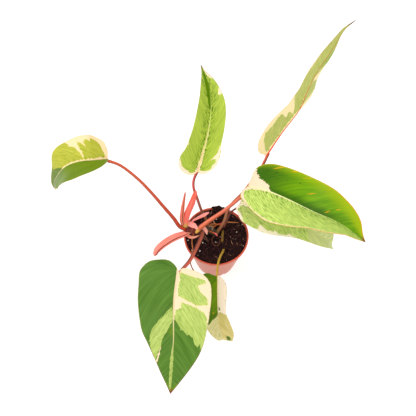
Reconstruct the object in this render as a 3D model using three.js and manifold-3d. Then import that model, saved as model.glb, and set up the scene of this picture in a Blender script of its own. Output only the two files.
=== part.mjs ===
// A potted philodendron with seven cream and green leaves: a short stem leaning out of the soil of a
// terracotta-coloured nursery pot, with its petioles, blades, pink leaf sheaths and aerial roots.
// Millimetres, +Z up. The origin is on the floor under the middle of the pot.

import * as THREE from 'three';
import { mergeVertices } from 'three/addons/utils/BufferGeometryUtils.js';
import Module from 'manifold-3d';

const wasm = await Module();
wasm.setup();

// Pot: a round nursery pot with a thin rolled rim that stands proud of its wall by a step
const POT_HEIGHT = 103;
const RIM_RADIUS = 60;
const RIM_DEPTH = 5;
const RIM_STEP = 1.2;
const RIM_ROUND = 0.6;
const FOOT_RADIUS = 38;
const FOOT_ROUND = 2;
const WALL = 1.2;
const FLOOR = 1.6;
const POT_TAPER = (RIM_RADIUS - RIM_STEP - FOOT_RADIUS) / POT_HEIGHT;
const POT_SIDES = 64;
const DRAIN_NOTCHES = 8;
const NOTCH_RADIUS = 3.5;
const NOTCH_SIDES = 12;

// Soil: its level below the rim, its heap at the back and its crumbs
const SOIL_TOP = 98;
const SOIL_EDGE = 3;
const SOIL_ROUND = 1.2;
const SOIL_SIDES = 48;
const SOIL_RINGS = 9;
const HEAP_HEIGHT = 5;
const HEAP_AT = [6, 44];
const HEAP_SPREAD = 17;
const CRUMB_HEIGHT = 1.1;

// Gap kept between touching pieces, and the wider one round the soil, whose sides are coarser
const GAP = 0.3;
const SOIL_GAP = 0.5;

// Stems, petioles, sheaths and roots: the sides of their section and the length of one step
const STEM_SIDES = 12;
const STALK_SIDES = 8;
const ROOT_SIDES = 6;
const STALK_STEP = 11;

// Blades: thickness, the ridge that the midrib raises underneath and how much of it the tip loses,
// how far the veins lean and sweep forward, the share of the length over which a curl is counted,
// the veins and the stops along them that make the mesh, how fast the margin's wave fades at both
// ends, and how much wider than its faces a padded blade is at its margin
const BLADE_THICKNESS = 0.8;
const RIDGE_DEPTH = 1.7;
const RIDGE_HALF_WIDTH = 1.8;
const RIDGE_TAPER = 0.8;
const VEIN_LEAN = 0.5;
const VEIN_SWEEP = 1.3;
const CURL_REACH = 0.27;
const FAN_ROWS = 8;
const RIB_ROWS = 16;
const VEIN_STOPS = [0, 0.045, 0.14, 0.4, 0.7, 1];
const OUTLINE_SAMPLES = 400;
const WAVE_FADE = 4;
const MARGIN_PAD = 1.5;

// Colours of the pieces
const LEAF_GREEN = 0x6d9a3c;
const PALE_LIME = 0xb4cf68;
const CREAM_GREEN = 0xcfd79a;
const SALMON = 0xc9695c;
const MAUVE_BROWN = 0x8c4b45;
const OLIVE_STALK = 0xa3933f;
const SHEATH_PINK = 0xd98078;
const STEM_BROWN = 0x7d5a48;
const ROOT_TAN = 0xb0704a;
const POT_TERRACOTTA = 0xd98b76;
const SOIL_BLACK = 0x2a1d18;

// Each leaf has the route of its midrib, the way its upper face looks from base to tip, and two
// halves, left and right of the midrib seen from above with the base nearest. A half has its flat
// outline from the sinus round the lobe to the tip, as [along the midrib, out from it], its lift
// off the blade's level in degrees from base to tip, its curl in degrees from midrib to margin,
// and the wave of its margin as height, count and phase. Its petiole's route ends at the blade.
const LEAVES = {
  left: {
    color: CREAM_GREEN,
    midrib: [
      [-182, 60, 262], [-201, 50, 273], [-222, 47, 274], [-244, 46, 264], [-261, 45, 246],
      [-278, 43, 216], [-280, 40, 194],
    ],
    face: [[0, -0.1, 1], [-0.3, -0.2, 1]],
    halves: {
      left: {
        outline: [
          [-2, 1], [2, 8], [12, 20], [27, 36], [45, 44], [74, 43], [102, 30], [130, 9], [152, 0],
        ],
        lift: [42, 22, 14, 12], curl: [4, 4], wave: [1.2, 4, 0.1],
      },
      right: {
        outline: [
          [-2, 2], [-3, 15], [2, 29], [13, 38], [28, 41], [60, 38], [84, 35], [104, 23], [130, 8],
          [152, 0],
        ],
        lift: [33, 25, 18], curl: [-8, -6], wave: [1.0, 4, 0.6],
      },
    },
    petiole: {
      route: [
        [-50, -8, 138], [-65, -7, 150], [-75, 0.5, 166], [-91, 12, 185], [-112, 26, 212],
        [-133, 39, 234], [-160, 52, 254], [-182, 60, 261],
      ],
      radius: [3.8, 3.6, 3.3, 3, 2.7, 2.5, 2.4, 2.5], color: SALMON,
    },
  },
  top: {
    color: PALE_LIME,
    midrib: [
      [-32, 51, 240], [-23, 78, 256], [-14, 111, 276], [-10, 144, 296], [-15, 178, 308],
      [-28, 223, 312],
    ],
    face: [[0, -0.3, 1], [0, -0.3, 1]],
    halves: {
      left: {
        outline: [
          [-3, 1], [-10, 9], [-10, 24], [-1, 37], [14, 39], [36, 33], [86, 29], [112, 26],
          [142, 18], [173, 6], [195, 0],
        ],
        lift: [36, 40], curl: [-8, -8], wave: [1.2, 3, 0.2],
      },
      right: {
        outline: [
          [-2, 1], [-4, 10], [1, 24], [14, 37], [32, 40], [52, 36], [88, 34], [115, 29],
          [145, 17], [172, 6], [195, 0],
        ],
        lift: [44, 40], curl: [-8, -8], wave: [1.2, 3, 0.7],
      },
    },
    petiole: {
      route: [
        [-10, 5, 108], [-19, 19, 130], [-27, 27, 148], [-35, 36, 180], [-40, 41, 202], [-39, 46, 222],
        [-32, 51, 239],
      ],
      radius: [3.4, 2.8, 2.5, 2.4, 2.3, 2.3, 2.5], color: MAUVE_BROWN,
    },
  },
  back: {
    color: CREAM_GREEN,
    midrib: [
      [86, 89, 236], [109, 114, 262], [136, 138, 292], [147, 155, 318], [160, 174, 342],
      [185, 199, 372], [200, 217, 391], [216, 223, 407],
    ],
    face: [[-0.6, 0.6, 0.35], [-0.6, 0.6, 0.35]],
    halves: {
      left: {
        outline: [
          [-1, 1], [-8, 14], [0, 30], [20, 42], [55, 47], [95, 44], [130, 40], [165, 31],
          [205, 15], [243, 0],
        ],
        lift: [12, 10, 0, -13, -8, -10, 0], curl: [6, 6], wave: [1.5, 3, 0.4],
      },
      right: {
        outline: [
          [-1, 1], [-4, 13], [-1, 29], [12, 42], [40, 46], [75, 44], [110, 38], [145, 32],
          [180, 25], [215, 10], [243, 0],
        ],
        lift: [28, 25, 23, 12, 14, 24, 16], curl: [6, 6], wave: [1.0, 3, 0.1],
      },
    },
    petiole: {
      route: [
        [-2, 4, 97], [13, 18, 116], [24, 39, 140], [50, 56, 168], [76, 80, 200], [83, 85, 217],
        [86, 89, 235],
      ],
      radius: [3.4, 2.9, 2.7, 2.6, 2.5, 2.5, 2.6], color: MAUVE_BROWN,
    },
  },
  right: {
    color: LEAF_GREEN,
    midrib: [
      [55, 44, 202], [77, 34, 210], [115, 13, 214], [161, -9, 207], [209, -23, 190], [255, -44, 162],
    ],
    face: [[0, -0.1, 1], [0, -0.1, 1]],
    halves: {
      left: {
        outline: [
          [-1, 1], [2, 13], [9, 30], [25, 44], [50, 49], [92, 51], [134, 49], [164, 40],
          [197, 25], [217, 9], [232, 0],
        ],
        lift: [34, 30], curl: [-8, -8], wave: [0.8, 3, 0.3],
      },
      right: {
        outline: [
          [-3, 1], [-7, 12], [-6, 23], [4, 32], [20, 43], [42, 53], [70, 60], [96, 60], [125, 52],
          [160, 45], [200, 22], [232, 0],
        ],
        lift: [8, 14, 36, 44, 44], curl: [-8, -8], wave: [1.2, 4, 0.1],
      },
    },
    petiole: {
      route: [[-38, -7, 131], [-14, 3, 152], [13, 14, 170], [43, 31, 190], [55, 44, 201]],
      radius: [4.6, 3.6, 3.3, 3.1, 3], color: SALMON,
    },
  },
  under: {
    color: CREAM_GREEN,
    midrib: [
      [43, 41, 150], [81, 27, 156], [121, 11, 157], [160, -7, 148], [190, -19, 132], [209, -23, 113],
      [204, -12, 94], [190, 4, 86],
    ],
    face: [[0, -0.1, 1], [0, -0.1, 1], [0.95, -0.1, -0.1]],
    halves: {
      left: {
        outline: [
          [-1, 1], [0, 10], [8, 30], [25, 43], [58, 48], [100, 44], [145, 32], [185, 20],
          [215, 10], [240, 0],
        ],
        lift: [20, 15], curl: [-6, -6], wave: [1.2, 4, 0.5],
      },
      right: {
        outline: [
          [-1, 1], [-3, 14], [6, 27], [21, 41], [58, 49], [90, 44], [123, 31], [165, 22],
          [185, 14], [202, 8], [220, 5], [240, 0],
        ],
        lift: [14, 10], curl: [-6, -6], wave: [1.4, 4, 0],
      },
    },
    petiole: {
      route: [[10, 14, 90], [18, 24, 105], [26, 35, 124], [37, 38, 138], [43, 41, 149]],
      radius: [2.2, 2, 1.8, 1.7, 1.8], color: MAUVE_BROWN,
    },
  },
  front: {
    color: LEAF_GREEN,
    midrib: [
      [-65, -99, 165], [-70, -142, 160], [-71, -176, 147], [-71, -202, 131], [-74, -236, 102],
      [-78, -274, 58],
    ],
    face: [[0, 0, 1], [0, -0.3, 1]],
    halves: {
      left: {
        outline: [
          [-2, 1], [-6, 11], [-3, 26], [5, 45], [18, 57], [38, 61], [60, 60], [92, 55], [128, 45],
          [160, 29], [190, 13], [213, 0],
        ],
        lift: [15, 11], curl: [-7, -6], wave: [1.0, 4, 0.2],
      },
      right: {
        outline: [
          [-4, 1], [-11, 8], [-16, 18], [-15, 32], [-8, 51], [10, 62], [34, 60], [62, 57],
          [94, 51], [127, 37], [158, 23], [188, 10], [213, 0],
        ],
        lift: [15, 11], curl: [-7, -6], wave: [1.0, 4, 0.7],
      },
    },
    petiole: {
      route: [
        [-25, -2, 124], [-29, -27, 139], [-35, -47, 148], [-45, -75, 159], [-57, -94, 164],
        [-65, -99, 164],
      ],
      radius: [4.6, 3.6, 3.3, 3.2, 3, 3], color: SALMON,
    },
  },
  small: {
    color: PALE_LIME,
    midrib: [
      [1, -92, 125], [1, -119, 117], [2, -146, 98], [5, -168, 76], [11, -180, 54], [13, -173, 36],
    ],
    face: [[0, 0, 1], [0, -1, 0.3]],
    halves: {
      left: {
        outline: [
          [-2, 1], [0, 6], [8, 15], [20, 20], [44, 17], [58, 16], [75, 22], [95, 25], [115, 17],
          [134, 0],
        ],
        lift: [45, 35, 15], curl: [-4, -4], wave: [0.8, 3, 0.3],
      },
      right: {
        outline: [
          [-1, 1], [-3, 10], [-5, 20], [0, 30], [14, 33], [40, 32], [65, 29], [88, 20], [114, 8],
          [134, 0],
        ],
        lift: [30, 20, 10], curl: [-4, -4], wave: [0.8, 3, 0.8],
      },
    },
    petiole: {
      route: [
        [13, 20, 90], [12, 8, 100], [11, -10, 103], [13, -30, 105], [7, -46, 109], [3, -61, 114],
        [1, -79, 121], [1, -92, 124],
      ],
      radius: [2.3, 2.2, 2.1, 2.1, 2.1, 2.1, 2, 2.1], color: OLIVE_STALK,
    },
  },
};

// The stem leans out of the soil to the crown, where the petioles and sheaths spring
const STEM = {
  route: [
    [2, 10, 62], [-1, 6, 92], [-9, 7, 108], [-19, 3, 119], [-31, -4, 127], [-44, -7, 134],
    [-56, -9, 142],
  ],
  radius: [5, 6.2, 7, 5.8, 5.6, 5.4, 4.6],
};

// Leaf sheaths: route, half-width along it, thickness as a share of the width, and which way is flat
const SHEATHS = {
  spike: {
    route: [[-59, -4, 146], [-61, 2, 162], [-59, 14, 182], [-54, 32, 205]],
    radius: [3.2, 4.1, 3.1, 1.2], flatness: 0.75, across: [1, 0, 0],
  },
  blunt: {
    route: [[-56, -5, 146], [-52, 8, 167], [-43, 21, 186], [-36, 35, 203]],
    radius: [4, 5.5, 5.3, 3], flatness: 0.7, across: [1, 0, 0],
  },
  boat: {
    route: [[-56, -15, 138], [-74, -24, 142], [-91, -37, 145], [-103, -50, 146], [-108, -61, 143]],
    radius: [5.5, 6.9, 6.8, 5.8, 3], flatness: 0.7, across: [0.5, -1, 0],
  },
  clasp: {
    route: [[-44, -5, 136], [-43, 5, 147], [-33, 10, 151], [-22, 14, 155], [-13, 17, 159]],
    radius: [7, 3.4, 5, 7, 2.4], flatness: 0.35, across: [0, 1, 0.3],
  },
  stub: {
    route: [[-26, -9, 123], [-20, -15, 121], [-14, -20, 117]],
    radius: [3.2, 3, 0.8], flatness: 0.6, across: [0, 1, 0],
  },
};

// Aerial roots over the rim, across the soil, from the foot of the stem, and looped on the soil
const ROOTS = {
  rim: {
    route: [
      [-40, -7, 131], [-44, -19, 119], [-43, -32, 111], [-45, -46, 109], [-47, -55, 104],
      [-43, -62, 90], [-37, -63, 76],
    ],
    radius: [1.3, 1.2, 1.1, 1.1, 1.1, 1.1, 0.8],
  },
  cross: {
    route: [
      [-9, 14, 104], [4, 23, 103.5], [9, 20, 103], [16, 27, 104], [24, 27, 103.5], [42, 27, 102],
    ],
    radius: [1.5, 1.3, 1.2, 1.2, 1.1, 0.8],
  },
  loop: {
    route: [
      [-4, 0, 101], [-8, -10, 101.5], [-4, -19, 101], [4, -20, 101.5], [7, -11, 101], [6, -3, 97],
    ],
    radius: [1.3, 1.2, 1.2, 1.2, 1.2, 1],
  },
};

const vector = ([x, y, z]) => new THREE.Vector3(x, y, z);
const smooth = (points) => new THREE.CatmullRomCurve3(points, false, 'catmullrom', 0.5);

// A list of values spread evenly over 0 to 1, read at any place between them
function along(values, place) {
  const at = THREE.MathUtils.clamp(place, 0, 1) * (values.length - 1);
  const step = Math.min(Math.floor(at), values.length - 2);
  const share = at - step;
  const from = values[step];
  const to = values[step + 1];
  return from.isVector3 ? from.clone().lerp(to, share) : from + (to - from) * share;
}

function indexed(positions, triangles) {
  const geometry = new THREE.BufferGeometry();
  geometry.setAttribute('position', new THREE.Float32BufferAttribute(positions, 3));
  geometry.setIndex(triangles);
  return geometry;
}

// Welds equal corners and drops the triangles that this leaves without area
function welded(geometry) {
  geometry.deleteAttribute('normal');
  geometry.deleteAttribute('uv');
  const merged = mergeVertices(geometry, 1e-3);
  const kept = [];
  const index = merged.index.array;
  for (let i = 0; i < index.length; i += 3) {
    const [a, b, c] = index.slice(i, i + 3);
    if (a !== b && b !== c && c !== a) kept.push(a, b, c);
  }
  merged.setIndex(kept);
  return merged;
}

function toSolid(geometry) {
  const closed = welded(geometry.clone());
  return new wasm.Manifold(new wasm.Mesh({
    numProp: 3,
    vertProperties: new Float32Array(closed.attributes.position.array),
    triVerts: new Uint32Array(closed.index.array),
  }));
}

function toGeometry(solid) {
  const mesh = solid.getMesh();
  return indexed(Array.from(mesh.vertProperties), Array.from(mesh.triVerts));
}

// The largest body left when other solids are cut out of one
function carved(geometry, cutters) {
  let solid = toSolid(geometry);
  for (const cutter of cutters) solid = solid.subtract(toSolid(cutter));
  const bodies = solid.decompose().sort((one, other) => other.volume() - one.volume());
  return toGeometry(bodies[0]);
}

// A closed limb of oval section along a route, wider by pad all round
function limb({ route, radius, flatness = 1, across = [1, 0, 0] }, pad = 0, sides = STALK_SIDES) {
  const curve = smooth(route.map(vector));
  const steps = Math.max(6, Math.round(curve.getLength() / STALK_STEP));
  const positions = [];
  const triangles = [];
  const side = vector(across);
  for (let i = 0; i <= steps; i += 1) {
    const place = i / steps;
    const tangent = curve.getTangent(place);
    const reach = pad * (i === 0 ? -1 : i === steps ? 1 : 0);
    const centre = curve.getPoint(place).addScaledVector(tangent, reach);
    side.addScaledVector(tangent, -side.dot(tangent)).normalize();
    const top = tangent.clone().cross(side);
    const wide = along(radius, place) + pad;
    const deep = along(radius, place) * flatness + pad;
    for (let k = 0; k < sides; k += 1) {
      const angle = (2 * Math.PI * k) / sides;
      const point = centre.clone()
        .addScaledVector(side, wide * Math.cos(angle))
        .addScaledVector(top, deep * Math.sin(angle));
      positions.push(point.x, point.y, point.z);
    }
  }
  for (let i = 0; i < steps; i += 1) {
    for (let k = 0; k < sides; k += 1) {
      const a = i * sides + k;
      const b = i * sides + ((k + 1) % sides);
      triangles.push(a, b, a + sides, b, b + sides, a + sides);
    }
  }
  const last = steps * sides;
  for (let k = 1; k < sides - 1; k += 1) {
    triangles.push(0, k + 1, k);
    triangles.push(last, last + k, last + k + 1);
  }
  return indexed(positions, triangles);
}

// The outline of a half-blade as a smooth curve, read by its share of the way from sinus to tip
function outlineReader({ outline }) {
  const curve = smooth(outline.map(([forward, out]) => new THREE.Vector3(forward, out, 0)));
  return (share) => curve.getPoint(share);
}

// Where on the outline the vein ends that leaves the midrib at a given place: the first of these
// veins fan out of the junction round the lobe, and the others leave the midrib in turn
function veinEnds(read, length) {
  const root = (sample) => {
    const margin = read(sample / OUTLINE_SAMPLES);
    return margin.x - VEIN_LEAN * margin.y;
  };
  let first = OUTLINE_SAMPLES;
  while (first > 1 && root(first - 1) > 0) first -= 1;
  const fanShare = first / OUTLINE_SAMPLES;
  const ends = [];
  for (let i = 0; i < FAN_ROWS; i += 1) ends.push({ share: (fanShare * i) / FAN_ROWS, origin: 0 });
  let at = first;
  for (let i = 0; i < RIB_ROWS; i += 1) {
    const origin = (length * i) / RIB_ROWS;
    while (at < OUTLINE_SAMPLES && root(at) < origin) at += 1;
    const low = root(at - 1);
    const part = at > first ? (origin - low) / (root(at) - low) : 0;
    ends.push({ share: (at - 1 + part) / OUTLINE_SAMPLES, origin });
  }
  ends.push({ share: 1, origin: length });
  return ends;
}

// A point of a half-blade, at a place along the midrib and a distance out from it: the half turns
// about the midrib by its lift and rolls by its curl, and its wave stands on top
function bladePoint({ curve, length, faces }, half, hand, place, out, wave) {
  const inside = THREE.MathUtils.clamp(place, 0, 1);
  const tangent = curve.getTangentAt(inside);
  const point = curve.getPointAt(inside).addScaledVector(tangent, (place - inside) * length);
  const side = tangent.clone().cross(along(faces, place)).normalize();
  const up = side.clone().cross(tangent);
  const lift = THREE.MathUtils.degToRad(along(half.lift, place));
  const bend = THREE.MathUtils.degToRad(along(half.curl, place)) / (CURL_REACH * length);
  const turned = lift + bend * out;
  point.addScaledVector(side, (hand * (Math.sin(turned) - Math.sin(lift))) / bend);
  return point.addScaledVector(up, (Math.cos(lift) - Math.cos(turned)) / bend + wave);
}

// The middle surface of a blade: rows of veins from the midrib to the margin, in two halves
function bladeSurface(leaf) {
  const curve = smooth(leaf.midrib.map(vector));
  const length = curve.getLength();
  const spine = { curve, length, faces: leaf.face.map(vector) };
  const positions = [];
  const ridges = [];
  const triangles = [];
  for (const [name, half] of Object.entries(leaf.halves)) {
    const hand = name === 'right' ? 1 : -1;
    const tip = half.outline[half.outline.length - 1][0];
    const outline = outlineReader(half);
    const read = (share) => outline(share).multiplyScalar(length / tip);
    const ends = veinEnds(read, length);
    const [height, count, phase] = half.wave;
    const start = positions.length / 3;
    ends.forEach(({ share, origin }, row) => {
      const margin = read(share);
      const rowShare = row / (ends.length - 1);
      const fade = Math.min(1, WAVE_FADE * Math.min(rowShare, 1 - rowShare));
      const swing = height * fade * Math.sin(2 * Math.PI * (count * rowShare + phase));
      for (const stop of VEIN_STOPS) {
        const out = margin.y * stop;
        const place = (origin + (margin.x - origin) * stop ** VEIN_SWEEP) / length;
        const point = bladePoint(spine, half, hand, place, out, swing * stop ** 2);
        positions.push(point.x, point.y, point.z);
        const taper = 1 - RIDGE_TAPER * THREE.MathUtils.clamp(place, 0, 1);
        ridges.push(RIDGE_DEPTH * taper * Math.exp(-((out / (RIDGE_HALF_WIDTH * taper)) ** 2)));
      }
    });
    const columns = VEIN_STOPS.length;
    for (let row = 0; row < ends.length - 1; row += 1) {
      for (let column = 0; column < columns - 1; column += 1) {
        const a = start + row * columns + column;
        const across = a + 1;
        const next = a + columns;
        const far = next + 1;
        if (hand > 0) triangles.push(a, across, next, across, far, next);
        else triangles.push(a, next, across, across, next, far);
      }
    }
  }
  const surface = indexed(positions, triangles);
  surface.setAttribute('ridge', new THREE.Float32BufferAttribute(ridges, 1));
  return surface;
}

// The edges that only one triangle of an open surface has, which run round its margin
function marginEdges(index) {
  const edges = new Set();
  for (let i = 0; i < index.length; i += 3) {
    for (let k = 0; k < 3; k += 1) edges.add(`${index[i + k]}_${index[i + ((k + 1) % 3)]}`);
  }
  const margin = [];
  for (const edge of edges) {
    const [from, to] = edge.split('_').map(Number);
    if (!edges.has(`${to}_${from}`)) margin.push([from, to]);
  }
  return margin;
}

// A blade of even thickness on its middle surface, with the midrib's ridge underneath, and wider
// by pad all round
function blade(leaf, pad = 0) {
  const surface = welded(bladeSurface(leaf));
  surface.computeVertexNormals();
  const { position, normal, ridge } = surface.attributes;
  const index = surface.index.array;
  const margin = marginEdges(index);
  const points = [];
  const normals = [];
  for (let i = 0; i < position.count; i += 1) {
    points.push(new THREE.Vector3().fromBufferAttribute(position, i));
    normals.push(new THREE.Vector3().fromBufferAttribute(normal, i));
  }
  const outward = points.map(() => new THREE.Vector3());
  for (const [from, to] of margin) {
    const away = points[to].clone().sub(points[from]).normalize().cross(normals[from]);
    outward[from].add(away);
    outward[to].add(away);
  }
  const half = BLADE_THICKNESS / 2 + pad;
  const positions = [];
  for (const face of [1, -1]) {
    points.forEach((point, i) => {
      const depth = face * half - (face < 0 ? ridge.getX(i) : 0);
      const moved = point.clone().addScaledVector(normals[i], depth);
      moved.addScaledVector(outward[i].normalize(), MARGIN_PAD * pad);
      positions.push(moved.x, moved.y, moved.z);
    });
  }
  const count = points.length;
  const triangles = Array.from(index);
  for (let i = 0; i < index.length; i += 3) {
    triangles.push(index[i] + count, index[i + 2] + count, index[i + 1] + count);
  }
  for (const [from, to] of margin) {
    triangles.push(to, from, from + count, to, from + count, to + count);
  }
  return indexed(positions, triangles);
}

// The radius of the pot's outer wall at a height
const wallAt = (height) => FOOT_RADIUS + POT_TAPER * height;

// The pot's wall, floor and rolled rim turned in one profile, with notches at the foot for water
function pot() {
  const under = POT_HEIGHT - RIM_DEPTH;
  const mouth = wallAt(POT_HEIGHT) - WALL;
  const profile = [
    [0, 0],
    [FOOT_RADIUS - FOOT_ROUND, 0],
    [wallAt(FOOT_ROUND), FOOT_ROUND],
    [wallAt(under), under],
    [RIM_RADIUS - RIM_ROUND, under],
    [RIM_RADIUS, under + RIM_ROUND],
    [RIM_RADIUS, POT_HEIGHT - RIM_ROUND],
    [RIM_RADIUS - RIM_ROUND, POT_HEIGHT],
    [mouth + RIM_ROUND, POT_HEIGHT],
    [mouth, POT_HEIGHT - RIM_ROUND],
    [wallAt(FLOOR) - WALL, FLOOR],
    [0, FLOOR],
  ];
  const turned = profile.map(([radius, height]) => new THREE.Vector2(radius, height));
  const body = new THREE.LatheGeometry(turned, POT_SIDES);
  body.rotateX(Math.PI / 2);
  let solid = toSolid(body);
  for (let i = 0; i < DRAIN_NOTCHES; i += 1) {
    const notch = new THREE.CylinderGeometry(NOTCH_RADIUS, NOTCH_RADIUS, 3 * NOTCH_RADIUS, NOTCH_SIDES);
    notch.rotateX(Math.PI / 2);
    notch.translate(FOOT_RADIUS, 0, 0);
    notch.rotateZ((2 * Math.PI * (i + 0.5)) / DRAIN_NOTCHES);
    solid = solid.subtract(toSolid(notch));
  }
  return toGeometry(solid);
}

// Soil level at a place: crumbs made of a few crossed waves, and the heap against the back wall
function soilLevel(x, y) {
  const crumbs = Math.sin(0.31 * x + 1.7) * Math.sin(0.27 * y + 0.4)
    + 0.6 * Math.sin(0.63 * x - 0.41 * y) + 0.5 * Math.sin(0.22 * x + 0.71 * y + 2.1);
  const away = Math.hypot(x - HEAP_AT[0], y - HEAP_AT[1]) / HEAP_SPREAD;
  return SOIL_TOP + CRUMB_HEIGHT * crumbs + HEAP_HEIGHT * Math.exp(-(away ** 2));
}

// The soil fills the pot to just under the rim
function soil() {
  const reach = (height) => wallAt(height) - WALL - SOIL_GAP;
  const low = FLOOR + GAP;
  const edge = SOIL_TOP - SOIL_EDGE;
  const profile = [[0, low], [reach(low) - SOIL_ROUND, low], [reach(edge), edge]];
  for (let ring = SOIL_RINGS; ring >= 0; ring -= 1) {
    profile.push([(reach(SOIL_TOP) * ring) / SOIL_RINGS, SOIL_TOP]);
  }
  const turned = profile.map(([radius, height]) => new THREE.Vector2(radius, height));
  const body = new THREE.LatheGeometry(turned, SOIL_SIDES);
  body.rotateX(Math.PI / 2);
  const { position } = body.attributes;
  for (let i = 0; i < position.count; i += 1) {
    if (position.getZ(i) <= edge) continue;
    position.setZ(i, soilLevel(position.getX(i), position.getY(i)));
  }
  return body;
}

const plant = new THREE.Group();

function add(name, geometry, color, roughness) {
  const flat = geometry.toNonIndexed();
  flat.computeVertexNormals();
  const mesh = new THREE.Mesh(flat, new THREE.MeshStandardMaterial({ color, roughness, metalness: 0 }));
  mesh.name = name;
  plant.add(mesh);
}

add('pot', pot(), POT_TERRACOTTA, 0.5);
add('stem', limb(STEM, 0, STEM_SIDES), STEM_BROWN, 0.7);

// Each later piece is cut back by the padded shapes of those it grows from or leans on
const taken = [limb(STEM, GAP, STEM_SIDES)];

for (const [name, leaf] of Object.entries(LEAVES)) {
  add(`blade_${name}`, blade(leaf), leaf.color, 0.4);
  taken.push(blade(leaf, GAP));
}
for (const [name, { petiole }] of Object.entries(LEAVES)) {
  add(`petiole_${name}`, carved(limb(petiole), taken), petiole.color, 0.45);
  taken.push(limb(petiole, GAP));
}
for (const [name, sheath] of Object.entries(SHEATHS)) {
  add(`sheath_${name}`, carved(limb(sheath), taken), SHEATH_PINK, 0.5);
  taken.push(limb(sheath, GAP));
}
for (const [name, root] of Object.entries(ROOTS)) {
  add(`root_${name}`, carved(limb(root, 0, ROOT_SIDES), taken), ROOT_TAN, 0.8);
  taken.push(limb(root, GAP, ROOT_SIDES));
}
add('soil', carved(soil(), taken), SOIL_BLACK, 0.95);

export default plant;
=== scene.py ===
# %% [markdown]
# A potted philodendron with seven cream and green leaves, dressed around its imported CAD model.
# The model is loaded first and never moved: it fixes where every leaf, stalk and root is. Each piece
# below is a finer surface worked out in the same place, in millimetres, and put in the scene in
# metres. The origin is on the floor under the middle of the pot, with Z up.

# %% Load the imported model
import math

import bpy
import numpy as np
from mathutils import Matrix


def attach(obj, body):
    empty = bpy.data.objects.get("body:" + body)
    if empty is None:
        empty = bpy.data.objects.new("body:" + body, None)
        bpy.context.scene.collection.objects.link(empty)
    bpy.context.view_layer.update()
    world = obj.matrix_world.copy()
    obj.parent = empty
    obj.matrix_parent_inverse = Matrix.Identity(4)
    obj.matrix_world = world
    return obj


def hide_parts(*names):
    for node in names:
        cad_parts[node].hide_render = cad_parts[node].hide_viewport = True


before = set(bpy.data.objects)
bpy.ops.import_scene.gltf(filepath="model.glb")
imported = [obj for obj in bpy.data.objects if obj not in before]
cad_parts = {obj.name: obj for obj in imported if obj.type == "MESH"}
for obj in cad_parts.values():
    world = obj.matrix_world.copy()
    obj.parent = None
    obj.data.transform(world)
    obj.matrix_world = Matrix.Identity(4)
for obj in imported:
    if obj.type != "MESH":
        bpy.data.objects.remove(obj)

MM = 0.001
scene = bpy.context.scene
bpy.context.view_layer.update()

# %% [markdown]
# The camera stands about a metre from the pot and looks down at 60 degrees, as someone does who
# leans over a plant on the floor. Nearer, the close leaves would loom. Further off, the rim and the
# foot of the pot would look alike, so their sizes fixed the distance. A lens of 47 mm on a square
# 36 mm sensor then frames the whole plant.

# %% Camera
LOOK_AT = (-15.2, 58.1, 103.0)
DISTANCE = 1031.0
ELEVATION = math.radians(60)
LENS = 46.9
SENSOR = 36
FAR_CLIP = 20

lens = bpy.data.cameras.new("camera")
lens.lens = LENS
lens.sensor_width = SENSOR
lens.clip_end = FAR_CLIP
camera = bpy.data.objects.new("camera", lens)
camera.location = (
    LOOK_AT[0] * MM,
    (LOOK_AT[1] - DISTANCE * math.cos(ELEVATION)) * MM,
    (LOOK_AT[2] + DISTANCE * math.sin(ELEVATION)) * MM,
)
camera.rotation_euler = (math.pi / 2 - ELEVATION, 0, 0)
scene.collection.objects.link(camera)
scene.camera = camera
print("camera at", [round(c, 4) for c in camera.location])

# %% [markdown]
# Colours are written as the hex values that a picture editor shows. Light adds up in linear numbers,
# so one function turns hex to linear. A second one adds any shader node, sets its options and fills
# its inputs with numbers or with other nodes' outputs, and hands back the output to use next. The
# materials could be clicked together by hand too, but written out, each number can be read.

# %% Colour and node helpers
def linear(code):
    """sRGB hex to linear: small values are divided by 12.92, others bent by a power of 2.4."""
    shares = [int(code[i:i + 2], 16) / 255 for i in (1, 3, 5)]
    bent = [s / 12.92 if s <= 0.04045 else ((s + 0.055) / 1.055) ** 2.4 for s in shares]
    return (*bent, 1.0)


def node(tree, kind, inputs=(), out=0, **settings):
    """Adds a shader node and returns its output number `out`, or the node itself for out=None. An
    input is a number, a vector, another node's output or the hex code of a colour."""
    made = tree.nodes.new("ShaderNode" + kind)
    for name, value in settings.items():
        setattr(made, name, value)
    for key, value in dict(inputs).items():
        if isinstance(value, bpy.types.NodeSocket):
            tree.links.new(value, made.inputs[key])
        else:
            made.inputs[key].default_value = linear(value) if isinstance(value, str) else value
    return made if out is None else made.outputs[out]


def new_material(name, roughness, ior=1.45, specular=0.5):
    """A principled material with its uniform values set on the shader's own sockets."""
    material = bpy.data.materials.new(name)
    material.use_nodes = True
    shader = material.node_tree.nodes["Principled BSDF"]
    shader.inputs["Roughness"].default_value = roughness
    shader.inputs["IOR"].default_value = ior
    shader.inputs["Specular IOR Level"].default_value = specular
    return material, material.node_tree, shader


def stretched_noise(tree, place, scale, detail):
    """Noise whose blots are about 1 / scale long on each axis of a place."""
    scaled = node(tree, "VectorMath", {0: place, 1: scale}, operation="MULTIPLY")
    return node(tree, "TexNoise", {"Vector": scaled, "Scale": 1.0, "Detail": detail})


def coat(tree, shader, color, height=None, strength=0.5, depth=0.2):
    """Gives a shader its colour, and a bump of some depth in millimetres that follows a height."""
    tree.links.new(color, shader.inputs["Base Color"])
    if height is not None:
        bump = node(tree, "Bump", {"Strength": strength, "Distance": depth * MM, "Height": height})
        tree.links.new(bump, shader.inputs["Normal"])


# Mix nodes of colours have their factor, A and B at these inputs, and their result at this output
FACTOR, A, B, RESULT = 0, 6, 7, 2
COLORS = {"out": RESULT, "data_type": "RGBA"}
SMOOTH = {"interpolation_type": "SMOOTHSTEP"}
print("middle grey in linear numbers:", round(linear("#808080")[0], 3))

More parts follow.
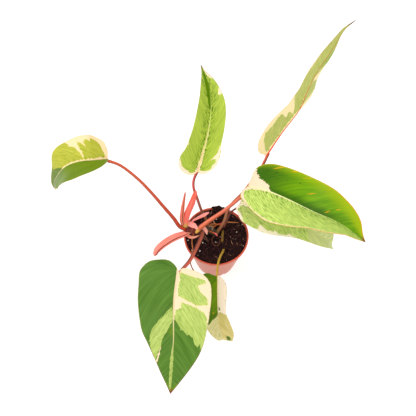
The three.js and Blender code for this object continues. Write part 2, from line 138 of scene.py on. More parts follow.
# %% [markdown]
# The floor is a sheet of white opal acrylic with a little light behind it, as on a product table, so
# that shadows on it stay faint. The light is that of a white photo tent: an even white world, and
# three large lamps that round the forms. A sun would be simpler, but its shadows are hard.

# %% Floor and light
FLOOR_SIZE = 8.0
FLOOR_GLOW = 0.6
WORLD_STRENGTH = 0.80
LAMPS = {
    "lamp_above": {"at": (-0.5, 0.5, 1.9), "size": 1.6, "watts": 13},
    "lamp_front": {"at": (0.6, -1.5, 1.6), "size": 1.4, "watts": 12},
    "lamp_side": {"at": (-1.7, -0.4, 1.2), "size": 1.2, "watts": 7},
}

half = FLOOR_SIZE / 2
sheet = bpy.data.meshes.new("floor")
corners = [(-half, -half, 0), (half, -half, 0), (half, half, 0), (-half, half, 0)]
sheet.from_pydata(corners, [], [(0, 1, 2, 3)])
floor = bpy.data.objects.new("floor", sheet)
scene.collection.objects.link(floor)
acrylic, tree, shader = new_material("backlit_opal_acrylic", 0.9, specular=0.1)
shader.inputs["Base Color"].default_value = linear("#C8C8C8")
shader.inputs["Emission Color"].default_value = linear("#FFFFFF")
shader.inputs["Emission Strength"].default_value = FLOOR_GLOW
sheet.materials.append(acrylic)

world = bpy.data.worlds.new("photo_tent")
world.use_nodes = True
world.node_tree.nodes["Background"].inputs["Color"].default_value = (1, 1, 1, 1)
world.node_tree.nodes["Background"].inputs["Strength"].default_value = WORLD_STRENGTH
scene.world = world
scene.view_settings.view_transform = "Standard"

for name, lamp in LAMPS.items():
    light = bpy.data.lights.new(name, "AREA")
    light.shape = "DISK"
    light.size = lamp["size"]
    light.energy = lamp["watts"]
    holder = bpy.data.objects.new(name, light)
    spot = np.array(lamp["at"])
    away = np.array(LOOK_AT) * MM - spot
    flat = math.hypot(away[0], away[1])
    holder.location = spot
    holder.rotation_euler = (math.atan2(flat, -away[2]), 0, math.atan2(away[1], away[0]) - math.pi / 2)
    scene.collection.objects.link(holder)
print("lamps:", len(LAMPS))

# %% [markdown]
# Every curved line here, from a leaf's midrib to a root, is a Catmull-Rom curve: it passes through
# its few given points and leaves each one parallel to the line between its neighbours. Bezier
# curves are smooth too, but their handles would double the numbers to place.

# %% Curves through points
HEADING_STEP = 1e-4
TINY = 1e-9


def smooth(points, place):
    """The curve through the points, read at places from 0 to 1. Each stretch between points b and c,
    with neighbours a and d, is half of (2b + (c-a)f + (2a-5b+4c-d)f2 + (3b-a-3c+d)f3)."""
    p = np.asarray(points, float)
    count = len(p) - 1
    p = np.vstack([2 * p[0] - p[1], p, 2 * p[-1] - p[-2]])
    at = np.clip(place, 0, 1) * count
    i = np.minimum(np.floor(at).astype(int), count - 1)
    f = (at - i)[..., None]
    a, b, c, d = p[i], p[i + 1], p[i + 2], p[i + 3]
    return (2 * b + (c - a) * f + (2 * a - 5 * b + 4 * c - d) * f**2 + (3 * b - a - 3 * c + d) * f**3) / 2


def heading(points, place):
    """The unit direction of the curve, from two places very near each other."""
    ahead = smooth(points, np.clip(place + HEADING_STEP, 0, 1))
    step = ahead - smooth(points, np.clip(place - HEADING_STEP, 0, 1))
    return step / np.linalg.norm(step, axis=-1, keepdims=True)


def along(values, place):
    """Values spread evenly over 0 to 1, read at places between them along straight lines."""
    values = np.asarray(values, float)
    stops = np.linspace(0, 1, len(values))
    if values.ndim == 1:
        return np.interp(place, stops, values)
    return np.stack([np.interp(place, stops, column) for column in values.T], -1)


def unit(v):
    """The vectors divided by their lengths."""
    return v / np.maximum(np.linalg.norm(v, axis=-1, keepdims=True), TINY)


def ramp(low, high, value):
    """Rises smoothly from 0 at low to 1 at high, as 3t2 - 2t3."""
    t = np.clip((value - low) / (high - low), 0, 1)
    return t * t * (3 - 2 * t)


print("a quarter along a bend:", smooth([[0, 0], [10, 8], [20, 0]], np.array([0.25]))[0])

# %% [markdown]
# A finished surface goes into Blender as points, triangles and a few values that ride on the points
# for the materials to read. Points that fall on each other become one and triangles without an area
# are dropped, so that seams and poles are closed. Merge by Distance does that too, but not before
# the normals are worked out, as the leaves need it.

# %% Meshes from arrays
WELDS_PER_MM = 1000


def grid_triangles(rows, columns, wrap=False):
    """Two triangles for each square between neighbouring rows and columns, which may close round."""
    number = np.arange(rows * columns).reshape(rows, columns)
    if wrap:
        number = np.hstack([number, number[:, :1]])
    a, b = number[:-1, :-1].ravel(), number[:-1, 1:].ravel()
    c, d = number[1:, :-1].ravel(), number[1:, 1:].ravel()
    return np.vstack([np.stack([a, b, c], 1), np.stack([b, d, c], 1)])


def weld(points, triangles):
    """Makes points within a thousandth of a millimetre one. Returns which points stay, and the
    triangles between them that still have three different corners."""
    cells = np.round(points * WELDS_PER_MM).astype(np.int64)
    _, first, back = np.unique(cells, axis=0, return_index=True, return_inverse=True)
    triangles = back.reshape(-1)[triangles]
    a, b, c = triangles.T
    return first, triangles[(a != b) & (b != c) & (c != a)]


def make_piece(name, points, triangles, material, nodes=(), values=None, flat=False):
    """Puts a surface in millimetres into the scene in metres, and fastens it to the frame."""
    first, triangles = weld(points, triangles)
    mesh = bpy.data.meshes.new(name)
    mesh.from_pydata(points[first] * MM, [], triangles)
    for label, value in (values or {}).items():
        layer = mesh.attributes.new(label, "FLOAT_VECTOR", "POINT")
        layer.data.foreach_set("vector", value[first].astype(np.float32).ravel())
    mesh.polygons.foreach_set("use_smooth", [not flat] * len(mesh.polygons))
    mesh.materials.append(material)
    mesh.update()
    piece = bpy.data.objects.new(name, mesh)
    scene.collection.objects.link(piece)
    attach(piece, "root")
    if nodes:
        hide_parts(*nodes)
    print(name, "triangles:", len(triangles))
    return piece


print("triangles in a closed band of 2 rows and 4 columns:", len(grid_triangles(2, 4, wrap=True)))

# %% [markdown]
# Each leaf is described as the plant made it: the route of its midrib, which way its face looks, and
# two halves with their own flat outline, lift, curl and waved margin. It could also be sculpted, but
# a flat outline is easy to read, and bending it keeps its true size. Outlines are measured from the
# junction with the stalk, as distance along the midrib and distance out from it.

# %% Leaf shapes
LEAVES = {
    "left": {
        "midrib": [
            [-182, 60, 262], [-201, 50, 273], [-222, 47, 274], [-244, 46, 264], [-261, 45, 246],
            [-278, 43, 216], [-280, 40, 194],
        ],
        "face": [[0, -0.1, 1], [-0.3, -0.2, 1]],
        "left_half": {
            "outline": [
                [-2, 1], [2, 8], [12, 20], [27, 36], [45, 44], [74, 43], [102, 30], [130, 9], [152, 0],
            ],
            "lift": [42, 22, 14, 12], "curl": [4, 4], "wave": [1.2, 4, 0.1],
        },
        "right_half": {
            "outline": [
                [-2, 2], [-3, 15], [2, 29], [13, 38], [28, 41], [60, 38], [84, 35], [104, 23], [130, 8],
                [152, 0],
            ],
            "lift": [33, 25, 18], "curl": [-8, -6], "wave": [1.0, 4, 0.6],
        },
        "stalk": [
            [-50, -8, 138], [-65, -7, 150], [-75, 0.5, 166], [-91, 12, 185], [-112, 26, 212], [-133, 39, 234],
            [-160, 52, 254], [-182, 60, 261],
        ],
        "stalk_radius": [3.8, 3.6, 3.3, 3, 2.7, 2.5, 2.4, 2.5],
    },
    "top": {
        "midrib": [
            [-32, 51, 240], [-23, 78, 256], [-14, 111, 276], [-10, 144, 296], [-15, 178, 308],
            [-28, 223, 312],
        ],
        "face": [[0, -0.3, 1], [0, -0.3, 1]],
        "left_half": {
            "outline": [
                [-3, 1], [-10, 9], [-10, 24], [-1, 37], [14, 39], [36, 33], [86, 29], [112, 26], [142, 18],
                [173, 6], [195, 0],
            ],
            "lift": [36, 40], "curl": [-8, -8], "wave": [1.2, 3, 0.2],
        },
        "right_half": {
            "outline": [
                [-2, 1], [-4, 10], [1, 24], [14, 37], [32, 40], [52, 36], [88, 34], [115, 29], [145, 17],
                [172, 6], [195, 0],
            ],
            "lift": [44, 40], "curl": [-8, -8], "wave": [1.2, 3, 0.7],
        },
        "stalk": [
            [-10, 5, 108], [-19, 19, 130], [-27, 27, 148], [-35, 36, 180], [-40, 41, 202], [-39, 46, 222],
            [-32, 51, 239],
        ],
        "stalk_radius": [3.4, 2.8, 2.5, 2.4, 2.3, 2.3, 2.5],
    },
    "back": {
        "midrib": [
            [86, 89, 236], [109, 114, 262], [136, 138, 292], [147, 155, 318], [160, 174, 342],
            [185, 199, 372], [200, 217, 391], [216, 223, 407],
        ],
        "face": [[-0.6, 0.6, 0.35], [-0.6, 0.6, 0.35]],
        "left_half": {
            "outline": [
                [-1, 1], [-8, 14], [0, 30], [20, 42], [55, 47], [95, 44], [130, 40], [165, 31], [205, 15],
                [243, 0],
            ],
            "lift": [12, 10, 0, -13, -8, -10, 0], "curl": [6, 6], "wave": [1.5, 3, 0.4],
        },
        "right_half": {
            "outline": [
                [-1, 1], [-4, 13], [-1, 29], [12, 42], [40, 46], [75, 44], [110, 38], [145, 32], [180, 25],
                [215, 10], [243, 0],
            ],
            "lift": [28, 25, 23, 12, 14, 24, 16], "curl": [6, 6], "wave": [1.0, 3, 0.1],
        },
        "stalk": [
            [-2, 4, 97], [13, 18, 116], [24, 39, 140], [50, 56, 168], [76, 80, 200], [83, 85, 217],
            [86, 89, 235],
        ],
        "stalk_radius": [3.4, 2.9, 2.7, 2.6, 2.5, 2.5, 2.6],
    },
    "right": {
        "midrib": [
            [55, 44, 202], [77, 34, 210], [115, 13, 214], [161, -9, 207], [209, -23, 190], [255, -44, 162],
        ],
        "face": [[0, -0.1, 1], [0, -0.1, 1]],
        "left_half": {
            "outline": [
                [-1, 1], [2, 13], [9, 30], [25, 44], [50, 49], [92, 51], [134, 49], [164, 40], [197, 25],
                [217, 9], [232, 0],
            ],
            "lift": [34, 30], "curl": [-8, -8], "wave": [0.8, 3, 0.3],
        },
        "right_half": {
            "outline": [
                [-3, 1], [-7, 12], [-6, 23], [4, 32], [20, 43], [42, 53], [70, 60], [96, 60], [125, 52],
                [160, 45], [200, 22], [232, 0],
            ],
            "lift": [8, 14, 36, 44, 44], "curl": [-8, -8], "wave": [1.2, 4, 0.1],
        },
        "stalk": [[-38, -7, 131], [-14, 3, 152], [13, 14, 170], [43, 31, 190], [55, 44, 201]],
        "stalk_radius": [4.6, 3.6, 3.3, 3.1, 3],
    },
    "under": {
        "midrib": [
            [43, 41, 150], [81, 27, 156], [121, 11, 157], [160, -7, 148], [190, -19, 132], [209, -23, 113],
            [204, -12, 94], [190, 4, 86],
        ],
        "face": [[0, -0.1, 1], [0, -0.1, 1], [0.95, -0.1, -0.1]],
        "left_half": {
            "outline": [
                [-1, 1], [0, 10], [8, 30], [25, 43], [58, 48], [100, 44], [145, 32], [185, 20], [215, 10],
                [240, 0],
            ],
            "lift": [20, 15], "curl": [-6, -6], "wave": [1.2, 4, 0.5],
        },
        "right_half": {
            "outline": [
                [-1, 1], [-3, 14], [6, 27], [21, 41], [58, 49], [90, 44], [123, 31], [165, 22], [185, 14],
                [202, 8], [220, 5], [240, 0],
            ],
            "lift": [14, 10], "curl": [-6, -6], "wave": [1.4, 4, 0],
        },
        "stalk": [[10, 14, 90], [18, 24, 105], [26, 35, 124], [37, 38, 138], [43, 41, 149]],
        "stalk_radius": [2.2, 2, 1.8, 1.7, 1.8],
    },
    "front": {
        "midrib": [
            [-65, -99, 165], [-70, -142, 160], [-71, -176, 147], [-71, -202, 131], [-74, -236, 102],
            [-78, -274, 58],
        ],
        "face": [[0, 0, 1], [0, -0.3, 1]],
        "left_half": {
            "outline": [
                [-2, 1], [-6, 11], [-3, 26], [5, 45], [18, 57], [38, 61], [60, 60], [92, 55], [128, 45],
                [160, 29], [190, 13], [213, 0],
            ],
            "lift": [15, 11], "curl": [-7, -6], "wave": [1.0, 4, 0.2],
        },
        "right_half": {
            "outline": [
                [-4, 1], [-11, 8], [-16, 18], [-15, 32], [-8, 51], [10, 62], [34, 60], [62, 57], [94, 51],
                [127, 37], [158, 23], [188, 10], [213, 0],
            ],
            "lift": [15, 11], "curl": [-7, -6], "wave": [1.0, 4, 0.7],
        },
        "stalk": [
            [-25, -2, 124], [-29, -27, 139], [-35, -47, 148], [-45, -75, 159], [-57, -94, 164],
            [-65, -99, 164],
        ],
        "stalk_radius": [4.6, 3.6, 3.3, 3.2, 3, 3],
    },
    "small": {
        "midrib": [
            [1, -92, 125], [1, -119, 117], [2, -146, 98], [5, -168, 76], [11, -180, 54], [13, -173, 36],
        ],
        "face": [[0, 0, 1], [0, -1, 0.3]],
        "left_half": {
            "outline": [
                [-2, 1], [0, 6], [8, 15], [20, 20], [44, 17], [58, 16], [75, 22], [95, 25], [115, 17],
                [134, 0],
            ],
            "lift": [45, 35, 15], "curl": [-4, -4], "wave": [0.8, 3, 0.3],
        },
        "right_half": {
            "outline": [
                [-1, 1], [-3, 10], [-5, 20], [0, 30], [14, 33], [40, 32], [65, 29], [88, 20], [114, 8],
                [134, 0],
            ],
            "lift": [30, 20, 10], "curl": [-4, -4], "wave": [0.8, 3, 0.8],
        },
        "stalk": [
            [13, 20, 90], [12, 8, 100], [11, -10, 103], [13, -30, 105], [7, -46, 109], [3, -61, 114],
            [1, -79, 121], [1, -92, 124],
        ],
        "stalk_radius": [2.3, 2.2, 2.1, 2.1, 2.1, 2.1, 2, 2.1],
    },
}
print("leaves:", ", ".join(LEAVES))

# %% [markdown]
# Veins give a leaf its grain, and on this plant they give it its markings too, because each stripe of
# tissue between two veins keeps one colour. A grid of squares would cut across them, so the surface
# is laid out vein by vein: veins 0 to 8 fan out round the lobe from the junction, and veins 8 to 24
# leave the midrib in turn. Along each vein the reach runs from 0 at the midrib to 1 at the margin.

# %% Lay out a half-blade along its veins
VEIN_LEAN = 0.5
VEIN_SWEEP = 1.3
CURL_REACH = 0.27
FAN_VEINS = 8
RIB_VEINS = 16
ROWS_PER_VEIN = 10
OUTLINE_SAMPLES = 401
MIDRIB_SAMPLES = 1001
REACHES = np.concatenate([
    np.array([0, 0.008, 0.016, 0.025, 0.035, 0.046, 0.058, 0.072, 0.088, 0.106, 0.128]),
    np.linspace(0.15, 0.94, 25),
    np.array([0.965, 0.985, 1.0]),
])


def vein_ends(outline, length):
    """Where each vein leaves the midrib and where it meets the margin. A vein leans forward, so the
    margin point it ends at lies half its distance out further along than where it started."""
    share = np.linspace(0, 1, OUTLINE_SAMPLES)
    margin = smooth(outline, share) * length / outline[-1][0]
    start = margin[:, 0] - VEIN_LEAN * margin[:, 1]
    first = 1 + int(np.flatnonzero(start <= 0)[-1])
    fan = share[first] * np.arange(FAN_VEINS * ROWS_PER_VEIN) / (FAN_VEINS * ROWS_PER_VEIN)
    origin = length * np.arange(RIB_VEINS * ROWS_PER_VEIN) / (RIB_VEINS * ROWS_PER_VEIN)
    climb = np.maximum.accumulate(start[first - 1:])
    rib = np.interp(origin, climb + np.arange(len(climb)) * TINY, share[first - 1:])
    ends = smooth(outline, np.concatenate([fan, rib, [1.0]])) * length / outline[-1][0]
    return ends, np.concatenate([0 * fan, origin, [length]])


class Midrib:
    """A midrib's curve read by its real length, and carried on straight past both ends."""

    def __init__(self, points):
        """Adds up the short steps between many marks on the curve."""
        self.points = points
        self.marks = np.linspace(0, 1, MIDRIB_SAMPLES)
        steps = np.diff(smooth(points, self.marks), axis=0)
        run = np.concatenate([[0], np.cumsum(np.linalg.norm(steps, axis=1))])
        self.length = run[-1]
        self.run = run / run[-1]

    def at(self, place):
        """The points and the directions at shares of the length, below 0 and above 1 too."""
        inside = np.clip(place, 0, 1)
        mark = np.interp(inside, self.run, self.marks)
        way = heading(self.points, mark)
        return smooth(self.points, mark) + way * ((place - inside) * self.length)[..., None], way


def half_blade(leaf, name):
    """One half as a grid of points, with how far along and out each one lies in the flat leaf.
    The half turns about the midrib by its lift and rolls by its curl: at a distance out it has
    turned by lift + bend x out, so it stands (sin turned - sin lift) / bend to the side and
    (cos lift - cos turned) / bend above, plus the wave of its margin."""
    half = leaf[name + "_half"]
    hand = 1 if name == "right" else -1
    midrib = Midrib(leaf["midrib"])
    ends, origin = vein_ends(half["outline"], midrib.length)
    row = np.linspace(0, 1, len(origin))[:, None]
    reach = REACHES[None, :]
    out = ends[:, 1:2] * reach
    place = (origin[:, None] + (ends[:, 0:1] - origin[:, None]) * reach**VEIN_SWEEP) / midrib.length
    centre, way = midrib.at(place)
    side = unit(np.cross(way, along(leaf["face"], place)))
    up = np.cross(side, way)
    lift = np.radians(along(half["lift"], place))
    bend = np.radians(along(half["curl"], place)) / (CURL_REACH * midrib.length)
    turned = lift + bend * out
    height, count, phase = half["wave"]
    fade = np.minimum(1, 4 * np.minimum(row, 1 - row))
    wave = height * reach**2 * fade * np.sin(2 * np.pi * (count * row + phase))
    across = hand * (np.sin(turned) - np.sin(lift)) / bend
    above = (np.cos(lift) - np.cos(turned)) / bend + wave
    points = centre + side * across[..., None] + up * above[..., None]
    return points, place, out, row * (FAN_VEINS + RIB_VEINS) + 0 * reach, ends[:, 1:2]


print("midribs in mm:", {name: round(Midrib(leaf["midrib"]).length) for name, leaf in LEAVES.items()})

# %% [markdown]
# The cream and green patches are outlines on that layout, as pairs of vein number and reach. For every
# point of the leaf the script stores how many millimetres it lies inside each patch. The material adds
# fine noise stretched along the veins to that distance, and so the edges fray into fingers across the
# veins but stay clean along them, as on the real leaf. A painted image could show them too, but it
# would blur close up.

# %% Where the patches lie
ALL_OF_IT = [(0, 0), (0, 1), (24, 1), (24, 0)]
MARKINGS = {
    ("front", "left"): {
        "cream": [[(0, 0), (0, 1), (15.2, 1), (12, 0.5), (13.8, 0.05), (14.1, 0)]],
        "light": [
            [
                (6.6, 0.86), (7.3, 0.84), (8, 0.72), (8.6, 0.62), (9, 0.68), (9.3, 0.88), (9.9, 0.95),
                (10.4, 0.85), (10.6, 0.75), (11, 0.66), (11.05, 0.4), (11, 0.1), (8, 0.07), (7.6, 0.35),
                (6.9, 0.6),
            ],
            [
                (11.3, 0.55), (11.25, 0.85), (11.6, 0.95), (12.5, 0.99), (14.6, 1.1), (15.7, 1.1),
                (15.5, 0.97), (14.9, 0.9), (15.5, 0.84), (15.4, 0.74), (14.9, 0.66), (14.8, 0.57),
                (15.1, 0.46), (14.8, 0.34), (14.9, 0.24), (14.4, 0.16), (14.1, 0.08), (13.8, 0.03),
                (12.7, 0.07), (12.3, 0.22), (11.7, 0.2), (11.5, 0.3),
            ],
            [(17.5, 0), (18.5, 0.05), (22, 0.09), (24, 0.15), (24, 0)],
        ],
        "glow": [[(22, 1.1), (24, 1.1), (24, -0.1), (23, 0.5)]],
    },
    ("front", "right"): {
        "cream": [[
            (16.6, 0.58), (17.3, 0.74), (17.9, 0.88), (18.3, 1.1), (18.8, 1.1), (18.3, 0.88), (17.6, 0.72),
            (16.9, 0.58),
        ]],
        "light": [
            [
                (12.4, 0.03), (12.7, 0.2), (13.2, 0.4), (13.5, 0.55), (13.7, 0.7), (14.2, 0.82), (15, 0.9),
                (16, 0.96), (17.5, 1), (18.2, 1), (17.4, 0.8), (17.1, 0.7), (16.7, 0.6), (16, 0.5),
                (15.4, 0.4), (15.2, 0.3), (14.8, 0.18), (14.3, 0.08), (14, 0.02),
            ],
            [
                (17, 0), (17.6, 0.07), (19, 0.15), (20.5, 0.22), (22, 0.38), (23, 0.62), (23.6, 0.5),
                (24, 0.3), (24, 0),
            ],
        ],
        "glow": [
            [(21, 1.2), (24, 1.1), (24, -0.1), (22.6, 0.7)],
            [(14.6, -0.1), (15.2, 0.12), (16, -0.1)],
        ],
    },
    ("right", "left"): {
        "cream": [[
            (0, 0), (0, 1), (6.2, 1), (7, 0.85), (8, 0.65), (8.3, 0.5), (8.8, 0.36), (9.5, 0.27), (10.2, 0.2),
            (10.6, 0.08), (10.9, 0),
        ]],
        "glow": [[
            (4, 1.4), (6.5, 1.0), (9, 1.04), (12, 1.0), (15, 0.9), (18, 0.78), (21, 0.62), (23, 0.5),
            (24, 0.5), (24, 1.4),
        ]],
    },
    ("right", "right"): {
        "cream": [ALL_OF_IT],
        "light": [[
            (3.5, 0.45), (4.5, 0.65), (6, 0.83), (8, 0.93), (12, 0.96), (18, 0.96), (22, 0.95), (24, 0.9),
            (24, 0), (10.8, 0.02), (9.8, 0.06), (8.6, 0.1), (8, 0.15), (7, 0.2), (5.5, 0.3), (4, 0.4),
        ]],
    },
    ("top", "left"): {
        "cream": [ALL_OF_IT],
        "light": [[
            (2.3, 0.45), (3, 0.75), (3.8, 0.72), (4.2, 0.55), (4.6, 0.72), (5.5, 0.8), (6.5, 0.87),
            (6.9, 0.97), (7.5, 1), (9.5, 0.98), (9.9, 0.92), (10.4, 1.05), (20, 1.05), (24, 1), (24, 0),
            (16, 0.02), (12, 0.06), (8, 0.1), (5, 0.14), (3.5, 0.2), (2.6, 0.3),
        ]],
        # Painted shade in the tight fold along the midrib near the tip
        "deep": [[(16.3, 0), (16.6, 0.15), (18, 0.34), (20, 0.5), (21.5, 0.55), (23, 0.4), (24, 0)]],
    },
    ("top", "right"): {
        "cream": [ALL_OF_IT],
        "light": [[
            (5.4, 0.6), (6, 0.85), (7, 0.82), (8, 0.75), (8.2, 0.86), (8.6, 0.87), (8.9, 0.75), (9, 0.6),
            (9.15, 0.65), (9.7, 0.85), (10.6, 0.97), (12, 1.05), (17, 1.05), (17.35, 0.93), (17.4, 0.8),
            (17.6, 0.72), (18, 0.85), (18.5, 1.05), (19.8, 1.05), (20.2, 0.9), (20.7, 0.75), (21.5, 0.6),
            (24, 0.5), (24, 0), (16, 0.02), (12, 0.06), (8, 0.09), (6.5, 0.2), (5.5, 0.4),
        ]],
        # Painted shade in the tight fold along the midrib near the tip
        "deep": [[(18.5, 0), (19.5, 0.14), (22, 0.25), (24, 0.3), (24, 0)]],
    },
    # The left leaf's dark end turns down: its plain dark green with painted shade over it
    ("left", "left"): {
        "deep": [[(17.5, 0), (18.5, 1), (24, 1), (24, 0)]],
    },
    ("left", "right"): {
        "cream": [[(0, 0), (0, 1.1), (13.4, 1.1), (12.8, 0.5), (16.9, 0.08), (17.2, 0)]],
        "light": [
            [
                (7.3, 0.62), (8, 0.75), (8.8, 0.87), (9.3, 0.8), (9.5, 0.72), (9.7, 0.8), (10.3, 0.8),
                (10.6, 0.7), (10.75, 0.45), (10.9, 0.7), (11.2, 0.78), (11.5, 0.7), (11.7, 0.5), (11.9, 0.2),
                (12, 0.05), (10, 0.06), (9, 0.08), (8.2, 0.06), (8.05, 0.4),
            ],
            [
                (12.15, 0.05), (12.1, 0.5), (12.3, 0.68), (12.55, 0.72), (12.75, 0.7), (12.8, 1.05),
                (18.2, 1.05), (18.9, 0.8), (18.3, 0.5), (17.5, 0.25), (16.7, 0.06),
            ],
        ],
        "deep": [[(17, 0), (17.8, 0.25), (18.6, 0.5), (19.1, 0.8), (18.6, 1.05), (24, 1.05), (24, 0)]],
    },
    ("back", "left"): {
        "cream": [ALL_OF_IT],
        "light": [
            [(5.5, 0.25), (6, 0.95), (9, 0.9), (11, 0.85), (12.3, 0.5), (12.9, 0.15), (8, 0.06)],
            [
                (13.8, 0.1), (14.3, 0.9), (15.5, 1.05), (16.4, 0.75), (16.6, 0.3), (17.2, 0.3), (17.6, 0.75),
                (18.5, 1.05), (24, 1.05), (24, 0), (14, 0.03),
            ],
        ],
        "deep": [[(18, 0.4), (18.4, 1.05), (20.2, 1.05), (20.2, 0.6), (19.8, 0.3), (18.6, 0.25)]],
    },
    ("back", "right"): {
        "cream": [ALL_OF_IT],
        "light": [
            [
                (8.05, 0.1), (8.2, 0.7), (8.6, 0.87), (9.2, 0.8), (9.8, 0.77), (10.5, 0.84), (11.2, 0.86),
                (11.45, 0.75), (11.7, 0.55), (11.9, 0.45), (12.2, 0.58), (12.5, 0.52), (12.75, 0.35),
                (12.9, 0.2), (12.9, 0.08), (10, 0.06),
            ],
            [
                (12.9, 0.08), (12.95, 0.25), (13.5, 0.5), (14, 0.7), (14.2, 0.95), (14.4, 1.05), (15.5, 0.98),
                (17, 0.93), (18.5, 0.95), (20.5, 1.05), (24, 1.05), (24, 0), (14, 0.03),
            ],
        ],
    },
    ("small", "left"): {
        "cream": [[(0, 0), (0, 1), (14.4, 1), (14.6, 0.6), (14.9, 0.2), (15.3, 0)]],
        "deep": [
            [(13.9, 0.1), (14.1, 0.26), (14.5, 0.24), (14.6, 0.1)],
            [(19.7, 0.72), (20.2, 0.86), (20.9, 0.8), (21.3, 0.6), (20.8, 0.45), (20.2, 0.42), (19.9, 0.55)],
        ],
    },
    ("small", "right"): {
        "light": [[(16, 0.04), (16, 1.1), (24, 1.1), (24, 0)]],
        "glow": [[(9, -0.2), (15, -0.2), (15, 0.35), (12, 0.3), (9, 0.2)]],
        "deep": [[(0, 0), (0, 1), (16.3, 1), (16.3, 0.8), (16.1, 0.5), (15.9, 0.2), (15.6, 0.05), (15.3, 0)]],
    },
    ("under", "left"): {
        "cream": [ALL_OF_IT],
        "light": [[
            (4, 0.4), (5, 0.8), (8, 0.9), (9.5, 0.85), (9.9, 0.7), (10.3, 0.9), (12.4, 0.92), (12.6, 0.75),
            (13, 0.95), (20, 1.05), (24, 1.05), (24, 0), (10, 0.04), (8, 0.1), (5, 0.3),
        ]],
        "deep": [[(17, 0), (16.9, 1.05), (24, 1.05), (24, 0)]],
    },
    ("under", "right"): {
        "cream": [ALL_OF_IT],
        "light": [[
            (4, 0.6), (4.6, 0.75), (6, 0.62), (8.05, 0.5), (8.05, 1), (9.2, 1), (9.9, 0.9), (10.2, 0.72),
            (10.6, 0.78), (11, 0.9), (11.5, 0.85), (11.8, 0.9), (12.1, 0.8), (12.4, 0.92), (13.5, 0.93),
            (14.1, 0.85), (14.6, 0.97), (16.5, 1), (16.8, 0.85), (17, 1.05), (24, 1.05), (24, 0), (10, 0.04),
            (8.3, 0.1), (6.5, 0.33), (5, 0.45),
        ]],
        "deep": [[(16.7, 0), (16.6, 1.05), (24, 1.05), (24, 0)]],
    },
}
print("patches:", sum(len(outlines) for kinds in MARKINGS.values() for outlines in kinds.values()))

# %% [markdown]
# Single flecks, where the skin has yellowed, and dark specks are small ovals that lie along a vein.
# Noise could scatter them, but they are few, and each one has its own place. They are written as
# vein, reach, half the length and half the width in millimetres.

# %% Where the flecks and specks lie
SPOTS = {
    ("right", "left"): {
        "fleck": [
            (9.4, 0.9, 9, 1.6), (12.5, 0.92, 9, 1.7), (14.5, 0.5, 9, 1.8), (18.4, 0.5, 5, 1.7),
            (17.7, 0.2, 7, 1.6), (11.0, 0.97, 6, 1.4), (15.6, 0.9, 7, 1.4),
        ],
        "speck": [
            (10.4, 0.5, 1.7, 1.5), (11.3, 0.57, 1.5, 1.4), (12.6, 0.64, 1.9, 1.6), (9.7, 0.72, 1.4, 1.3),
        ],
    },
    ("back", "right"): {"speck": [(20.35, 0.77, 2.0, 1.7), (21.3, 0.93, 1.5, 1.3)]},
    ("small", "left"): {"speck": [(8.6, 0.96, 2.4, 1.3), (11.5, 0.97, 1.6, 1.2)]},
    ("small", "right"): {"fleck": [(14.7, 0.3, 1.8, 1.6), (12.2, 0.62, 1.6, 1.4)]},
    ("top", "right"): {"speck": [(11.9, 0.55, 1.4, 1.3)]},
    ("front", "right"): {"speck": [(12.2, 0.9, 1.3, 1.2)]},
}
print("flecks and specks:", sum(len(spots) for kinds in SPOTS.values() for spots in kinds.values()))

# %% [markdown]
# How far a point lies inside an outline is its distance to the nearest edge. It is inside when a line
# from it to the side crosses the outline an odd number of times. A mask of ones and zeros would be
# quicker, but only a distance lets the material push the edge in and out.

# %% Distance inside an outline
FAR_OUTSIDE = -40.0


def inside_by(points, outline):
    """Signed distance of each flat point to a closed outline, above 0 inside."""
    start = np.asarray(outline, float)
    edge = np.roll(start, -1, axis=0) - start
    offset = points[:, None, :] - start
    share = np.clip((offset * edge).sum(-1) / np.maximum((edge**2).sum(-1), TINY), 0, 1)
    distance = np.linalg.norm(offset - edge * share[..., None], axis=-1).min(1)
    rises = (start[:, 1] > points[:, 1:2]) != (start[:, 1] + edge[:, 1] > points[:, 1:2])
    slope = edge[:, 0] / np.where(edge[:, 1] == 0, 1, edge[:, 1])
    crossing = start[:, 0] + slope * (points[:, 1:2] - start[:, 1])
    odd = (rises & (points[:, 0:1] < crossing)).sum(1) % 2 == 1
    return np.where(odd, distance, -distance)


def patch_depth(leaf_name, half_name, patch, vein, reach, scale):
    """Millimetres inside the nearest patch of one kind, on a half laid out by vein and reach."""
    depth = np.full(vein.size, FAR_OUTSIDE)
    flat = np.stack([vein.ravel(), reach.ravel()], 1) * scale
    for outline in MARKINGS.get((leaf_name, half_name), {}).get(patch, []):
        depth = np.maximum(depth, inside_by(flat, np.array(outline) * scale))
    return depth.reshape(vein.shape)


square = [(0, 0), (4, 0), (4, 4), (0, 4)]
print("a point in a square of 4 lies inside by", inside_by(np.array([[1.0, 2.0]]), square)[0])

# %% [markdown]
# Fine veins leave the midrib at about 50 degrees and curve forward until they run beside the margin.
# The leaf's grain, its quilt and its spots all follow them, so every point of a leaf is measured once
# across the veins and once along them. Straight veins would need one formula less, but they look
# drawn with a ruler.

# %% Fine veins and spots
STREAK_LEAN = 0.85
STREAK_CURVE = 0.7
FAN_RADIUS = 30.0
NO_SPOT = -4.0
VEINS_PER_REACH = 10


def streak_map(forward, out, width):
    """Millimetres across and along the fine veins. A vein that starts s along the midrib runs on
    forward = s + lean x out + curve x out^2 / width. Behind the vein that starts at the junction they
    fan out, and there the angle times a fixed radius takes the place of s."""
    bent = forward - STREAK_CURVE * out**2 / width
    start = math.atan2(1, STREAK_LEAN)
    behind = np.arctan2(out, bent) - start
    across = np.where(behind > 0, -behind * FAN_RADIUS, (bent - STREAK_LEAN * out) * math.sin(start))
    lengthwise = np.where(behind > 0, np.hypot(bent, out), out / math.sin(start))
    return across, lengthwise


